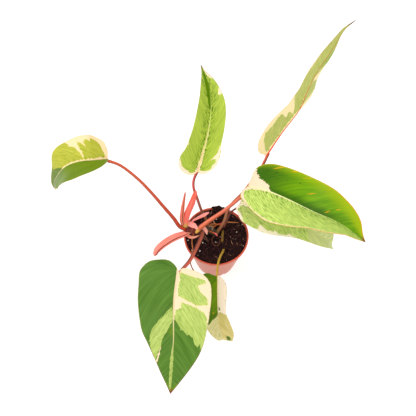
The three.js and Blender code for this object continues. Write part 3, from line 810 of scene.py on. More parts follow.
def spot_depth(leaf_name, half_name, kind, vein, reach, across, lengthwise):
    """1 at the middle of the nearest spot and 0 on its edge: 1 less the length of (offset / half
    size), with the offset taken across and along the fine veins."""
    depth = np.full(vein.shape, NO_SPOT)
    for at_vein, at_reach, long_half, wide_half in SPOTS.get((leaf_name, half_name), {}).get(kind, []):
        middle = np.argmin((vein - at_vein) ** 2 + (VEINS_PER_REACH * (reach - at_reach)) ** 2)
        aside = (across - across.ravel()[middle]) / wide_half
        onward = (lengthwise - lengthwise.ravel()[middle]) / long_half
        depth = np.maximum(depth, 1 - np.hypot(aside, onward))
    return depth


print("fine veins leave the midrib at", round(math.degrees(math.atan2(1, STREAK_LEAN))), "degrees")

# %% [markdown]
# A blade is half a millimetre thick, thinner at its margin, and its midrib stands out as a strong
# round keel underneath and a low flat band above. Side veins are pressed in on top and stand out
# underneath, and the skin between them swells a little. Solidify could thicken a sheet, but evenly,
# so each point gets its own thickness here from how far it is from the midrib, vein and margin.

# %% Sizes and layers of a blade
BLADE_THICKNESS = 0.55
MARGIN_THICKNESS = 0.3
KEEL_DEPTH = 1.7
KEEL_HALF_WIDTH = 1.8
KEEL_TAPER = 0.8
STRONG_KEELS = {"back": 1.5}
QUILT_HEIGHT = 0.12
VEIN_DEPTH = 0.14
VEIN_HALF_WIDTH = 0.09
VEIN_SPACING = 8.0
RIB_HEIGHT = 0.35
RIB_TAPER = 0.84

# The groove beside the midrib's band: its depth as a share of the band's height, and its middle and
# half-width in half-widths of the band
RIB_GROOVE = (0.8, 1.5, 0.4)

# The grain of one half lies this far from the other's, so that they don't mirror each other
HALVES_APART = 200

# Patches are measured in millimetres on a flat half of this share of the greatest width
SCALE_WIDTH = 0.85

# Half-width of the pale midrib on the upper face, at the junction, for each leaf
RIB_HALF_WIDTH = {
    "left": 1.7, "top": 3.0, "back": 2.4, "right": 2.0, "under": 1.5, "front": 2.3, "small": 1.2,
}


def blade_layers(name, leaf):
    """Both halves of the middle surface in one list, with all that the faces and material need. The
    groove, keel and band are heights in the form of a bell: the power of e to minus (distance /
    width) squared. The band's bell is flat-topped, by a fourth power, with a groove beside it."""
    parts = []
    rib = RIB_HALF_WIDTH[name]
    strong = STRONG_KEELS.get(name, 1)
    groove_depth, groove_at, groove_width = RIB_GROOVE
    length = Midrib(leaf["midrib"]).length
    for side, hand in (("left", -1), ("right", 1)):
        points, place, out, vein, width = half_blade(leaf, side)
        reach = REACHES[None, :] + 0 * place
        scale = np.array([length / RIB_VEINS, SCALE_WIDTH * width.max()])
        across, lengthwise = streak_map(place * length, out, width.max())
        phase = across / VEIN_SPACING
        between = np.abs(np.sin(np.pi * phase))
        nearest = np.abs(phase - np.round(phase))
        open_skin = ramp(0.02, 0.2, reach) * ramp(1.0, 0.8, reach) * ramp(0, 2, vein) * ramp(24, 21, vein)
        taper = 1 - KEEL_TAPER * np.clip(place, 0, 1)
        keel_width = strong * KEEL_HALF_WIDTH * taper
        band = out / (rib * (1 - RIB_TAPER * np.sqrt(np.clip(place, 0, 1))))
        beside = groove_depth * np.exp(-(((band - groove_at) / groove_width) ** 2))
        parts.append({
            "points": points,
            "triangles": grid_triangles(*vein.shape)[:, :: hand],
            "quilt": QUILT_HEIGHT * between * open_skin,
            "groove": VEIN_DEPTH * np.exp(-((nearest / VEIN_HALF_WIDTH) ** 2)) * open_skin,
            "keel": strong * KEEL_DEPTH * taper * np.exp(-((out / keel_width) ** 2)),
            "band": RIB_HEIGHT * taper * (np.exp(-(band**4)) - beside),
            "half": (BLADE_THICKNESS + (MARGIN_THICKNESS - BLADE_THICKNESS) * ramp(0.6, 1.0, reach)) / 2,
            "vein_map": np.stack([across + HALVES_APART * hand, lengthwise, place], -1),
            "rib": band,
            "margin": width * (1 - reach),
        })
        for patch in ("cream", "light", "deep", "glow"):
            parts[-1][patch] = patch_depth(name, side, patch, vein, reach, scale)
        for kind in ("fleck", "speck"):
            parts[-1][kind] = spot_depth(name, side, kind, vein, reach, across, lengthwise)
    count = parts[0]["rib"].size
    layers = {}
    for key in parts[0]:
        if key == "triangles":
            layers[key] = np.vstack([parts[0][key], parts[1][key] + count])
        elif parts[0][key].ndim == 3:
            layers[key] = np.vstack([part[key].reshape(-1, 3) for part in parts])
        else:
            layers[key] = np.concatenate([part[key].ravel() for part in parts])
    return layers


print("rows of a half-blade:", (FAN_VEINS + RIB_VEINS) * ROWS_PER_VEIN + 1, "with", len(REACHES), "points")

# %% [markdown]
# The leaf is one closed shell: both faces are moved off the middle surface along its normals, and a
# rounded rim joins them. Two open faces would look the same from above, but light would leak in at
# the margin, and a printed leaf would have no inside.

# %% Close the shell of a blade
def normals_of(points, triangles):
    """The direction each point faces: the cross products of the triangles round it, added up."""
    corners = points[triangles]
    facing = np.cross(corners[:, 1] - corners[:, 0], corners[:, 2] - corners[:, 0])
    total = np.zeros_like(points)
    for k in range(3):
        np.add.at(total, triangles[:, k], facing)
    return unit(total)


def rim_edges(triangles, count):
    """The directed edges that only one triangle has, which run round the open surface."""
    ends = np.vstack([triangles[:, [0, 1]], triangles[:, [1, 2]], triangles[:, [2, 0]]])
    single = ~np.isin(ends[:, 0] * count + ends[:, 1], ends[:, 1] * count + ends[:, 0])
    return ends[single]


def make_blade(name, leaf, material):
    """Point + normal x (half thickness + band - groove) is the upper face, and point - normal x (half
    thickness + keel + groove) the lower one. Two strips of triangles join each to the rim between."""
    layers = blade_layers(name, leaf)
    first, triangles = weld(layers["points"], layers["triangles"])
    layers = {key: value[first] for key, value in layers.items() if key != "triangles"}
    middle = layers["points"] + normals_of(layers["points"], triangles) * layers["quilt"][:, None]
    normal = normals_of(middle, triangles)
    count = len(middle)
    rim = rim_edges(triangles, count)
    away = np.zeros_like(middle)
    outward = np.cross(unit(middle[rim[:, 1]] - middle[rim[:, 0]]), normal[rim[:, 0]])
    np.add.at(away, rim[:, 0], outward)
    np.add.at(away, rim[:, 1], outward)
    upper = middle + normal * (layers["half"] + layers["band"] - layers["groove"])[:, None]
    lower = middle - normal * (layers["half"] + layers["keel"] + layers["groove"])[:, None]
    edge = middle + unit(away) * MARGIN_THICKNESS / 2
    a, b = rim.T
    a_edge, b_edge = a + 2 * count, b + 2 * count
    strips = [
        np.stack([b, a, a_edge], 1),
        np.stack([b, a_edge, b_edge], 1),
        np.stack([b_edge, a_edge, a + count], 1),
        np.stack([b_edge, a + count, b + count], 1),
    ]
    shell = np.vstack([triangles, triangles[:, ::-1] + count, *strips])
    under = np.repeat([0.0, 1.0, 0.5], count)
    thrice = {key: np.concatenate([value] * 3) for key, value in layers.items()}
    values = {
        "vein_map": thrice["vein_map"],
        "patches": np.stack([thrice["cream"], thrice["light"], thrice["deep"]], 1),
        "place": np.stack([thrice["rib"], thrice["margin"], under], 1),
        "spots": np.stack([thrice["glow"], thrice["fleck"], thrice["speck"]], 1),
    }
    points = np.vstack([upper, lower, edge])
    used = np.unique(shell)
    fresh = np.full(len(points), -1)
    fresh[used] = np.arange(len(used))
    values = {key: value[used] for key, value in values.items()}
    return make_piece("leaf_" + name, points[used], fresh[shell], material, ["blade_" + name], values)


# %% [markdown]
# Leaf skin is a waxy cuticle over living tissue, smooth and half-glossy. Green tissue is full of
# chlorophyll and cream tissue has none. One set of colours would do from afar, but age and light
# give each leaf its own tones, and so each has a palette.

# %% Grain and palettes
# Each grain of the leaf: its real size in millimetres across and along the veins, and its detail
GRAINS = {
    "fray": (2.2, 15.0, 3.0), "cloud": (18.0, 60.0, 2.0), "dash": (1.9, 9.0, 1.5), "line": (2.6, 50.0, 2.0),
}
GRAIN_SHIFT = 5.0
FRAY_REACH = 4.2
EDGE_SOFTNESS = (0.3, 0.35, 0.8)

# Pairs are the two ends of a soft variation. The midrib has a colour at its base, middle and end.
# Mottling is the share of torn pale marks in the green, the light green and the dark green tissue.
# Most leaves have no painted shade inside, don't yellow in a glow and have no such marks
EVEN = {"inner": 0, "glow": ("#9DAA52", 0, 10), "mottle": (0, 0, 0), "torn": "#F4D6A2"}
PALETTES = {
    "front": {
        "green": ("#3F6418", "#628A34"), "light": ("#9AAF50", "#C6D676"), "deep": ("#406614", "#60862A"),
        "cream": "#F4D4B0", "glow": ("#6A8A00", 0.8, 12), "dash": ("#5E8420", 0.5, 0.3),
        "rib": ("#F0CDA8", "#CFC088", "#9AA858"),
        "edge": ("#DCC79C", "#8A4526", 0.8), "under": ("#A9B57A", 0.45), "keel": "#C96A52", "tip": "#7A3A1C",
    },
    # The right leaf's darkest green is the painted shade inside it, near the midrib and the base
    "right": {
        "green": ("#4A8000", "#7EAC00"), "light": ("#A6C054", "#D0E476"), "deep": ("#2C5800", "#2E5C00"),
        "cream": "#F4D6B8", "glow": ("#9AB000", 0.95, 15), "inner": 0.86, "dash": ("#3E7014", 0.75, 0.4),
        "rib": ("#F0E0AE", "#DDE29A", "#B9CC62"),
        "edge": ("#C8B040", "#E09A1C", 2.0), "under": ("#B3BB7A", 0.45), "keel": "#D9735A", "tip": "#8A5A28",
    },
    # The top leaf's dark green and the end of its midrib are painted shade in the tight fold near its tip
    "top": {
        "green": ("#7F9A26", "#98B432"), "light": ("#96AA3C", "#B6CA48"), "deep": ("#466C00", "#6A8C08"),
        "cream": "#F4DABC", "dash": ("#3E6A10", 0.8, 0.12), "rib": ("#F2D0A0", "#C8D468", "#5E840E"),
        "edge": ("#D8C878", "#9A8A26", 0.8), "under": ("#B3BB76", 0.45), "keel": "#D3664E", "tip": "#6B4A22",
    },
    # The left leaf's dark green is its turned-down end: plain dark green with painted shade
    "left": {
        "green": ("#5C770B", "#718B14"), "light": ("#AAAB32", "#C2C146"), "deep": ("#586E2A", "#7C8F42"),
        "cream": "#F4D6A4", "dash": ("#7E9018", 0.45, 0.35), "rib": ("#F4CBA8", "#E8D898", "#E8E0B4"),
        "edge": ("#F0C8A0", "#C8B070", 0.9), "under": ("#B5B973", 0.45), "keel": "#D6705A", "tip": "#C9B08A",
    },
    "back": {
        "green": ("#9DAA52", "#B2BC62"), "light": ("#A9B150", "#C3C56E"), "deep": ("#8BA038", "#ACB755"),
        "cream": "#F7DFAA", "dash": ("#8E9C3C", 0.4, 0.4),
        "mottle": (0, 0.12, 0), "rib": ("#F2D8A0", "#E6C78C", "#C0C070"),
        "edge": ("#EDBA90", "#B86A4A", 1.0), "under": ("#CBCB82", 0), "keel": "#EA461C", "tip": "#5A3418",
    },
    "small": {
        "green": ("#BFAE5F", "#D8C87C"), "light": ("#C2B876", "#D8CE94"), "deep": ("#345800", "#648400"),
        "cream": "#FCE8D4", "glow": ("#6E8C00", 0.45, 3), "dash": ("#8E9450", 0.4, 0.3),
        "mottle": (0.25, 0.3, 0), "torn": "#F0DCC0", "rib": ("#B8A030", "#E8C8A0", "#E6D4A8"),
        "edge": ("#E0BE94", "#C8B070", 0.8), "under": ("#BFB97A", 0.45), "keel": "#B8A040", "tip": "#A89850",
    },
    "under": {
        "green": ("#8DA63F", "#A2BA4C"), "light": ("#B2C862", "#D8E882"), "deep": ("#A3B266", "#DCE294"),
        "cream": "#FFF0DA", "dash": ("#5E8A2E", 0.7, 0.5),
        "mottle": (0, 0.2, 0.3), "torn": "#F0E8C0", "rib": ("#EFE3B0", "#D8D890", "#D8D890"),
        "edge": ("#EAD9A8", "#D8C890", 0.9), "under": ("#B3BB7A", 0.45), "keel": "#D07058", "tip": "#C8C080",
    },
}
FLECK = "#CEA208"
SPECK = "#3A3414"
NEAR_GREEN_CREAM = "#ECDD8E"
OLD_KEEL = "#A4683C"
print("palettes:", len(PALETTES), "grains:", ", ".join(GRAINS))

# %% [markdown]
# The patches stay clean along the veins and fray across them, because noise that is long along the
# veins pushes their edges. The greens are never even: clouds and fine lines run through them, and
# the oldest green is yellow in places and has painted shade inside, towards the midrib and the base.
# An image would hold all this at one size only, while noise is as fine as the camera asks.

# %% Patches and tissue
def vein_grain(tree, grid):
    """Four noises on the vein map, each with its own size across and along the veins."""
    grain = {}
    for shift, (label, (across, lengthwise, detail)) in enumerate(GRAINS.items()):
        scale = (1 / across, 1 / lengthwise, 0)
        sized = node(tree, "VectorMath", {0: grid, 1: scale}, operation="MULTIPLY")
        moved = node(tree, "VectorMath", {0: sized, 1: (0, 0, GRAIN_SHIFT * shift)}, operation="ADD")
        grain[label] = node(tree, "TexNoise", {"Vector": moved, "Scale": 1.0, "Detail": detail})
    return grain


def frayed_patches(tree, depth, fray):
    """How far the cream, light and dark patches show: fully where the depth inside the outline,
    pushed in and out by the fray, is above 0."""
    push = node(tree, "MapRange", {
        "Value": fray, "From Min": 0.25, "From Max": 0.75,
        "To Min": -FRAY_REACH / 2, "To Max": FRAY_REACH / 2,
    })
    shown = []
    for axis, soft in enumerate(EDGE_SOFTNESS):
        frayed = node(tree, "Math", {0: depth.outputs[axis], 1: push}, operation="ADD")
        shown.append(node(tree, "MapRange", {"Value": frayed, "From Min": -soft, "From Max": soft}, **SMOOTH))
    return shown


def tissues(tree, palette, grain):
    """The three greens. Each runs softly between its two shades, with fine lines along the veins and
    some torn pale marks."""
    cloud = node(tree, "MapRange", {
        "Value": grain["cloud"], "From Min": 0.25, "From Max": 0.75, "To Min": 0.22, "To Max": 0.78,
    })
    lined = node(tree, "MapRange", {
        "Value": grain["line"], "From Min": 0.3, "From Max": 0.7, "To Min": -0.3, "To Max": 0.3,
    })
    mixed = node(tree, "Math", {0: cloud, 1: lined}, operation="ADD", use_clamp=True)
    greens = []
    for key, mottling in zip(("green", "light", "deep"), palette["mottle"]):
        shade = node(tree, "Mix", {FACTOR: mixed, A: palette[key][0], B: palette[key][1]}, **COLORS)
        torn = node(tree, "MapRange", {
            "Value": grain["fray"], "From Min": 0.52, "From Max": 0.6, "To Max": mottling,
        }, **SMOOTH)
        greens.append(node(tree, "Mix", {FACTOR: torn, A: shade, B: palette["torn"]}, **COLORS))
    return greens


def shaded_and_yellowed(tree, palette, green, deep, out_along_vein, share, glow):
    """Painted shade darkens the green towards the base, and before the tip towards the midrib too. Green
    and dark green turn yellow in the glow."""
    # The share of painted shade near the midrib and near the base, up to the palette's inner strength
    by_rib = node(tree, "MapRange", {"Value": out_along_vein, "From Min": 24.0, "From Max": 4.0}, **SMOOTH)
    by_base = node(tree, "MapRange", {"Value": share, "From Min": 0.42, "From Max": 0.08}, **SMOOTH)
    before_tip = node(tree, "MapRange", {"Value": share, "From Min": 0.85, "From Max": 0.55}, **SMOOTH)
    by_rib = node(tree, "Math", {0: by_rib, 1: before_tip}, operation="MULTIPLY")
    inner = node(tree, "Math", {0: by_rib, 1: by_base}, operation="MAXIMUM")
    inner = node(tree, "Math", {0: inner, 1: palette["inner"]}, operation="MULTIPLY")
    green = node(tree, "Mix", {FACTOR: inner, A: green, B: palette["deep"][0]}, **COLORS)
    yellow, strength, reach = palette["glow"]
    glowing = node(tree, "MapRange", {
        "Value": glow, "From Min": -reach, "From Max": 0.5 * reach, "To Max": strength,
    }, **SMOOTH)
    return [node(tree, "Mix", {FACTOR: glowing, A: hue, B: yellow}, **COLORS) for hue in (green, deep)]


print("patch edges wander in a band of", FRAY_REACH, "mm")

# %% [markdown]
# Over the patches lie short dark dashes, flecks and specks, the pale midrib, a thin coloured line
# along the margin and a dry tip. The underside is paler and duller, and its keel has a colour of its
# own. Each of them could be a separate mesh and material, but on the plant it is all one skin, so it
# is one material in layers, from the tissue up.

# %% Leaf skin
def midrib_color(tree, palette, share, below):
    """The midrib runs through its three colours, and its keel below from its own to brown."""
    base, middle, end = palette["rib"]
    first = node(tree, "MapRange", {"Value": share, "From Min": 0.0, "From Max": 0.45})
    second = node(tree, "MapRange", {"Value": share, "From Min": 0.5, "From Max": 0.72})
    rib = node(tree, "Mix", {FACTOR: first, A: base, B: middle}, **COLORS)
    rib = node(tree, "Mix", {FACTOR: second, A: rib, B: end}, **COLORS)
    keel = node(tree, "Mix", {FACTOR: share, A: palette["keel"], B: OLD_KEEL}, **COLORS)
    return node(tree, "Mix", {FACTOR: below, A: rib, B: keel}, **COLORS)


def leaf_skin(name, palette):
    """The waxy skin of one leaf, cream and green, read from the values on its mesh."""
    material, tree, shader = new_material("leaf_cuticle_" + name, 0.42, ior=1.42, specular=0.14)
    grid = node(tree, "Attribute", out=1, attribute_name="vein_map")
    spot = node(tree, "SeparateXYZ", {0: grid}, None)
    depth, place, spots = [
        node(tree, "SeparateXYZ", {0: node(tree, "Attribute", out=1, attribute_name=label)}, None)
        for label in ("patches", "place", "spots")
    ]
    out_along_vein, share = spot.outputs[1], spot.outputs[2]
    grain = vein_grain(tree, grid)
    cream_on, light_on, deep_on = frayed_patches(tree, depth, grain["fray"])
    green, light, deep = tissues(tree, palette, grain)
    green, deep = shaded_and_yellowed(tree, palette, green, deep, out_along_vein, share, spots.outputs[0])

    # Cream tissue is yellower near the light green, which has dashes, thickest near the midrib
    near_green = node(tree, "MapRange", {
        "Value": depth.outputs[1], "From Min": -3.0, "From Max": 0.0, "To Max": 0.2,
    }, **SMOOTH)
    cream = node(tree, "Mix", {FACTOR: near_green, A: palette["cream"], B: NEAR_GREEN_CREAM}, **COLORS)
    dark, by_midrib, far_out = palette["dash"]
    near = node(tree, "MapRange", {
        "Value": out_along_vein, "From Min": 5.0, "From Max": 26.0, "To Min": by_midrib, "To Max": far_out,
    })
    dash = node(tree, "MapRange", {"Value": grain["dash"], "From Min": 0.51, "From Max": 0.57}, **SMOOTH)
    dashed = node(tree, "Math", {0: dash, 1: near}, operation="MULTIPLY")
    light = node(tree, "Mix", {FACTOR: dashed, A: light, B: dark}, **COLORS)

    # The layers over the green, in turn: how much of each shows, and its colour
    layers = [(cream_on, cream), (light_on, light), (deep_on, deep)]
    for inside, hue in ((spots.outputs[1], FLECK), (spots.outputs[2], SPECK)):
        on = node(tree, "MapRange", {"Value": inside, "From Min": 0.0, "From Max": 0.6}, **SMOOTH)
        layers.append((on, hue))
    below = node(tree, "MapRange", {"Value": place.outputs[2], "From Min": 0.6, "From Max": 0.9}, **SMOOTH)
    pale, amount = palette["under"]
    layers.append((node(tree, "Math", {0: below, 1: amount}, operation="MULTIPLY"), pale))
    rib_on = node(tree, "MapRange", {"Value": place.outputs[0], "From Min": 1.15, "From Max": 0.85}, **SMOOTH)
    layers.append((rib_on, midrib_color(tree, palette, share, below)))
    edge_low, edge_high, width = palette["edge"]
    later = node(tree, "MapRange", {"Value": share, "From Min": 0.35, "From Max": 0.75})
    edge = node(tree, "Mix", {FACTOR: later, A: edge_low, B: edge_high}, **COLORS)
    edge_on = node(tree, "MapRange", {
        "Value": place.outputs[1], "From Min": width, "From Max": 0.3 * width, "To Max": 0.8,
    })
    layers.append((edge_on, edge))
    tip_on = node(tree, "MapRange", {"Value": share, "From Min": 0.93, "From Max": 0.985}, **SMOOTH)
    layers.append((tip_on, palette["tip"]))
    color = green
    for amount, over in layers:
        color = node(tree, "Mix", {FACTOR: amount, A: color, B: over}, **COLORS)

    rough = node(tree, "MapRange", {"Value": below, "To Min": 0.36, "To Max": 0.6})
    tree.links.new(rough, shader.inputs["Roughness"])
    height = node(tree, "Math", {0: grain["line"], 1: grain["fray"]}, operation="ADD")
    coat(tree, shader, color, height)
    return material


print("layers from the tissue up: cream, light, deep, fleck, speck, under, midrib, edge, tip")

# %% [markdown]
# All seven leaves share the functions above and differ in their shape, patches and palette. They
# could be joined into one mesh, but each takes the place of its own leaf in the CAD model.

# %% Make the seven leaves
for name, leaf in LEAVES.items():
    make_blade(name, leaf, leaf_skin(name, {**EVEN, **PALETTES[name]}))

# %% [markdown]
# Stalks, sheaths, stem and roots are all sections carried along a route. The section is a function of
# the share of the route and of the angle round it, and gives how far each point stands to the side
# and above. A bevelled curve is quicker for a round cord, but its section can't get a channel, a
# swelling or a slit on the way. Both ends are closed by a fan of triangles.

# %% Sweep a section along a route
UP = np.array([0.0, 0.0, 1.0])


def rounded_end(share, past_end, length):
    """A size that falls to nearly nothing at the end: the root of (past_end - share) / length."""
    return np.sqrt(np.clip((past_end - share) / length, 0, 1))


def sweep(route, steps, sides, section, across=None):
    """Carries a closed section along the curve through a route's points. The side is square to the
    route and level, or follows on from `across`, and above is square to both."""
    share = np.linspace(0, 1, steps + 1)
    centre = smooth(route, share)
    way = heading(route, share)
    side = unit(np.cross(way, UP))
    if across is not None:
        for i in range(steps + 1):
            across = unit(across - way[i] * (way[i] @ across))
            side[i] = across
    above = np.cross(side, way)
    angle = 2 * np.pi * np.arange(sides) / sides
    to_side, to_above = section(share[:, None], angle[None, :])
    ring = centre[:, None] + side[:, None] * to_side[..., None] + above[:, None] * to_above[..., None]
    run = np.concatenate([[0], np.cumsum(np.linalg.norm(np.diff(centre, axis=0), axis=1))])
    turn = np.broadcast_to(angle, (steps + 1, sides))
    run, share = [np.repeat(column[:, None], sides, axis=1) for column in (run, share)]
    count = (steps + 1) * sides
    number = np.arange(sides)
    last = steps * sides
    points = np.vstack([ring.reshape(-1, 3), ring[0].mean(0), ring[-1].mean(0)])
    start_fan = np.stack([np.roll(number, -1), number, 0 * number + count], 1)
    end_fan = np.stack([number + last, np.roll(number, -1) + last, 0 * number + count + 1], 1)
    triangles = np.vstack([grid_triangles(steps + 1, sides, wrap=True)[:, ::-1], start_fan, end_fan])
    ends = [[0, 0, 0], [0, 0, run[-1, 0]]]
    round_and_along = np.stack([np.cos(turn), np.sin(turn), run], -1).reshape(-1, 3)
    shares = np.stack([share, turn / (2 * np.pi), 0 * share], -1).reshape(-1, 3)
    values = {
        "stalk_map": np.vstack([round_and_along, ends]),
        "stalk_place": np.vstack([shares, [[0, 0, 0], [1, 0, 0]]]),
    }
    return points, triangles, values


def swept_values(tree):
    """The map round and along a swept piece, its share of the route and its turn, for a material."""
    grid = node(tree, "Attribute", out=1, attribute_name="stalk_map")
    stored = node(tree, "Attribute", out=1, attribute_name="stalk_place")
    place = node(tree, "SeparateXYZ", {0: stored}, None)
    return grid, place.outputs[0], place.outputs[1]


print("half-way through its rounded end a piece has", round(float(rounded_end(0.5, 1, 1)), 2), "of its size")

# %% [markdown]
# A petiole is a firm rod with a shallow channel on its upper side. It is wider at its base, where it
# wraps the stem, and swells a little below the blade, where it turns into the midrib's keel. It could
# end at the blade as a cut rod, but its end would show, so it is carried on under the midrib.

# %% Petioles
CHANNEL_DEPTH = 0.16
CHANNEL_POWER = 6
SWELLING = (0.12, 0.97, 0.03)
PETIOLE_STEPS = 150
PETIOLE_SIDES = 28
STALK_OVERLAP = 4.0
STALK_DROP = 1.2


def petiole_section(radius):
    """A circle with a channel on top: the radius loses a share where the angle points upwards. The
    swelling is a bell along the route, and the end is rounded."""
    swell, swell_at, swell_width = SWELLING

    def section(share, angle):
        size = along(radius, share)
        size = size * (1 + swell * np.exp(-(((share - swell_at) / swell_width) ** 2)))
        size = size * rounded_end(share, 1.001, 0.022)
        upward = np.maximum(0, np.sin(angle)) ** CHANNEL_POWER
        return size * np.cos(angle), size * (np.sin(angle) - CHANNEL_DEPTH * upward)
    return section


def stalk_skin(name, look):
    """Petiole skin: a smooth fibrous rind. Its colour runs from the base to the blade, a band of painted
    shade follows one side or both, painted shade darkens the underside, and short flecks lie along it."""
    material, tree, shader = new_material("petiole_rind_" + name, 0.42, ior=1.42, specular=0.3)
    grid, share, _ = swept_values(tree)
    facing_up = node(tree, "SeparateXYZ", {0: grid}, 1)
    streaks = stretched_noise(tree, grid, (2.4, 2.4, 1 / 9.0), 3.0)
    dotted = stretched_noise(tree, grid, (3.0, 3.0, 1 / 1.8), 1.0)
    climb = node(tree, "MapRange", {"Value": share, "From Min": 0.2, "From Max": 0.8}, **SMOOTH)
    color = node(tree, "Mix", {FACTOR: climb, A: look["low"], B: look["high"]}, **COLORS)

    # The bands of painted shade: cos(turn - shade) is 1 in the middle of the shaded side, and -1 on the side
    # across
    bearing = math.radians(look["shade"])
    direction = (math.cos(bearing), math.sin(bearing), 0)
    toward = node(tree, "VectorMath", {0: grid, 1: direction}, 1, operation="DOT_PRODUCT")
    if "both" in look:
        toward = node(tree, "Math", {0: toward}, operation="ABSOLUTE")
    painted_shade_band = node(tree, "MapRange", {
        "Value": toward, "From Min": 0.3, "From Max": 0.85, "To Max": 0.9,
    }, **SMOOTH)
    # Painted shade on the underside, where the rind faces down
    below = node(tree, "MapRange", {
        "Value": facing_up, "From Min": -0.1, "From Max": -0.7, "To Max": 0.7,
    }, **SMOOTH)
    streaky = node(tree, "MapRange", {"Value": streaks, "From Min": 0.4, "From Max": 0.75, "To Max": 0.35})
    flecked = node(tree, "MapRange", {"Value": dotted, "From Min": 0.64, "From Max": 0.72, "To Max": 0.4})
    foot = node(tree, "MapRange", {"Value": share, "From Min": 0.09, "From Max": 0.05}, **SMOOTH)
    layers = ((painted_shade_band, "dark"), (below, "dark"), (streaky, "dark"), (flecked, "fleck"), (foot, "foot"))
    for amount, key in layers:
        color = node(tree, "Mix", {FACTOR: amount, A: color, B: look[key]}, **COLORS)
    coat(tree, shader, color, streaks, 0.4)
    return material


# For each stalk: its slot, its colours, the bearing of its band of painted shade, and if both sides have one
PETIOLES = {
    "left": {
        "slot": "petiole_salmon", "low": "#B43E22", "high": "#CC5838", "dark": "#7A3012", "fleck": "#EE9A7C",
        "shade": 215, "foot": "#9A2218",
    },
    "top": {
        "slot": "petiole_mauve", "low": "#7A4E30", "high": "#D8524E", "dark": "#743426", "fleck": "#A87458",
        "shade": 0, "foot": "#76482F",
    },
    "back": {
        "slot": "petiole_mauve", "low": "#A06A48", "high": "#EE6446", "dark": "#7A3826", "fleck": "#BC8068",
        "shade": 0, "foot": "#7C5A34",
    },
    "right": {
        "slot": "petiole_salmon", "low": "#EA7E5E", "high": "#E4745E", "dark": "#B4502E", "fleck": "#F0A080",
        "shade": 0, "both": True, "foot": "#E0B050",
    },
    "under": {
        "slot": "petiole_mauve", "low": "#82483A", "high": "#8C5040", "dark": "#5A2C20", "fleck": "#A67660",
        "shade": 0, "foot": "#6E3C2C",
    },
    "front": {
        "slot": "petiole_salmon", "low": "#A0503A", "high": "#C4523E", "dark": "#4E2420", "fleck": "#EA9478",
        "shade": 20, "foot": "#8A4A3A",
    },
    "small": {
        "slot": "petiole_olive", "low": "#7C5C22", "high": "#C29A2E", "dark": "#8A6A1C", "fleck": "#DCC76A",
        "shade": 180, "foot": "#6A4A24",
    },
}


def under_midrib(leaf):
    """The stalk's route, with its last point carried on along the underside of the midrib."""
    start, further = np.array(leaf["midrib"][:2], float)
    way = unit(further - start)
    up = np.cross(unit(np.cross(way, leaf["face"][0])), way)
    route = np.array(leaf["stalk"], float)
    route[-1] += STALK_OVERLAP * way - STALK_DROP * up
    return route


for name, look in PETIOLES.items():
    section = petiole_section(LEAVES[name]["stalk_radius"])
    points, triangles, values = sweep(under_midrib(LEAVES[name]), PETIOLE_STEPS, PETIOLE_SIDES, section)
    rind = stalk_skin(name, look)
    make_piece("stalk_" + name, points, triangles, rind, ["petiole_" + name], values)

# %% [markdown]
# The stem leans out of the soil. Rings mark where older leaves stood, and it is corky brown below and
# red-brown towards the crown. The rings could be separate hoops, but they are pinches in one skin, so
# the section's size beats along the route, and the colour beats with it.

# %% Stem
STEM = {
    "route": [
        [2, 10, 62], [-1, 6, 92], [-9, 7, 108], [-19, 3, 119], [-31, -4, 127], [-44, -7, 134], [-56, -9, 142],
    ],
    "radius": [5, 6.2, 7, 5.8, 5.6, 5.4, 4.6],
}
RING_SPACING = 0.16
RING_SWELL = 0.05
RING_PINCH = (0.08, 0.5, 0.06)
STEM_STEPS = 140
STEM_SIDES = 40


def stem_section(share, angle):
    """A round section that swells just below each ring and is pinched at it, with a few flat sides."""
    beat = (share / RING_SPACING) % 1
    pinch, pinch_at, pinch_width = RING_PINCH
    pinched = pinch * np.exp(-(((beat - pinch_at) / pinch_width) ** 2))
    size = along(STEM["radius"], share) * (1 + RING_SWELL * np.sin(2 * np.pi * beat) - pinched)
    size = size * (1 + 0.03 * np.sin(3 * angle + 5 * share) + 0.02 * np.sin(7 * angle - 9 * share))
    return size * np.cos(angle), size * np.sin(angle)


bark, tree, shader = new_material("stem_bark_green_wood", 0.62, specular=0.25)
grid, share, _ = swept_values(tree)
fibres = stretched_noise(tree, grid, (2.0, 2.0, 1 / 7.0), 4.0)
upward = node(tree, "MapRange", {"Value": share, "From Min": 0.6, "From Max": 0.8}, **SMOOTH)
color = node(tree, "Mix", {FACTOR: upward, A: "#4E4034", B: "#7A2E28"}, **COLORS)
dark = node(tree, "MapRange", {"Value": fibres, "From Min": 0.4, "From Max": 0.7, "To Max": 0.7})
beat = node(tree, "Math", {0: share, 1: 2 * math.pi / RING_SPACING}, operation="MULTIPLY")
beat = node(tree, "Math", {0: beat}, operation="COSINE")
ring = node(tree, "MapRange", {"Value": beat, "From Min": -0.93, "From Max": -0.99, "To Max": 0.7})
for amount, hue in ((dark, "#2C1A16"), (ring, "#7C5A44")):
    color = node(tree, "Mix", {FACTOR: amount, A: color, B: hue}, **COLORS)
coat(tree, shader, color, fibres, 0.6, 0.4)
points, triangles, values = sweep(STEM["route"], STEM_STEPS, STEM_SIDES, stem_section)
make_piece("leaning_stem", points, triangles, bark, ["stem"], values)

# %% [markdown]
# Where an old leaf fell off, a pale raised ring stays on the stem round a flat scar that faces up and
# forward. A texture could draw it, but its ring catches the light, so it is a thin cord swept round an
# oval, and the scar is a low drum of twelve sides inside it.

# %% Leaf scar
SCAR_AT = np.array([-10.5, 6.6, 118.5])
SCAR_RADIUS = 4.2
SCAR_OVAL = 0.85
SCAR_FACING = unit(np.array([-0.1, -0.5, 0.86]))
SCAR_CORNERS = 12
SCAR_DOME = 0.4
SCAR_THICKNESS = 1.2
SCAR_CORD = 0.75


def cord_section(share, angle):
    """A circle of the same size all along the cord."""
    return SCAR_CORD * np.cos(angle) + 0 * share, SCAR_CORD * np.sin(angle) + 0 * share


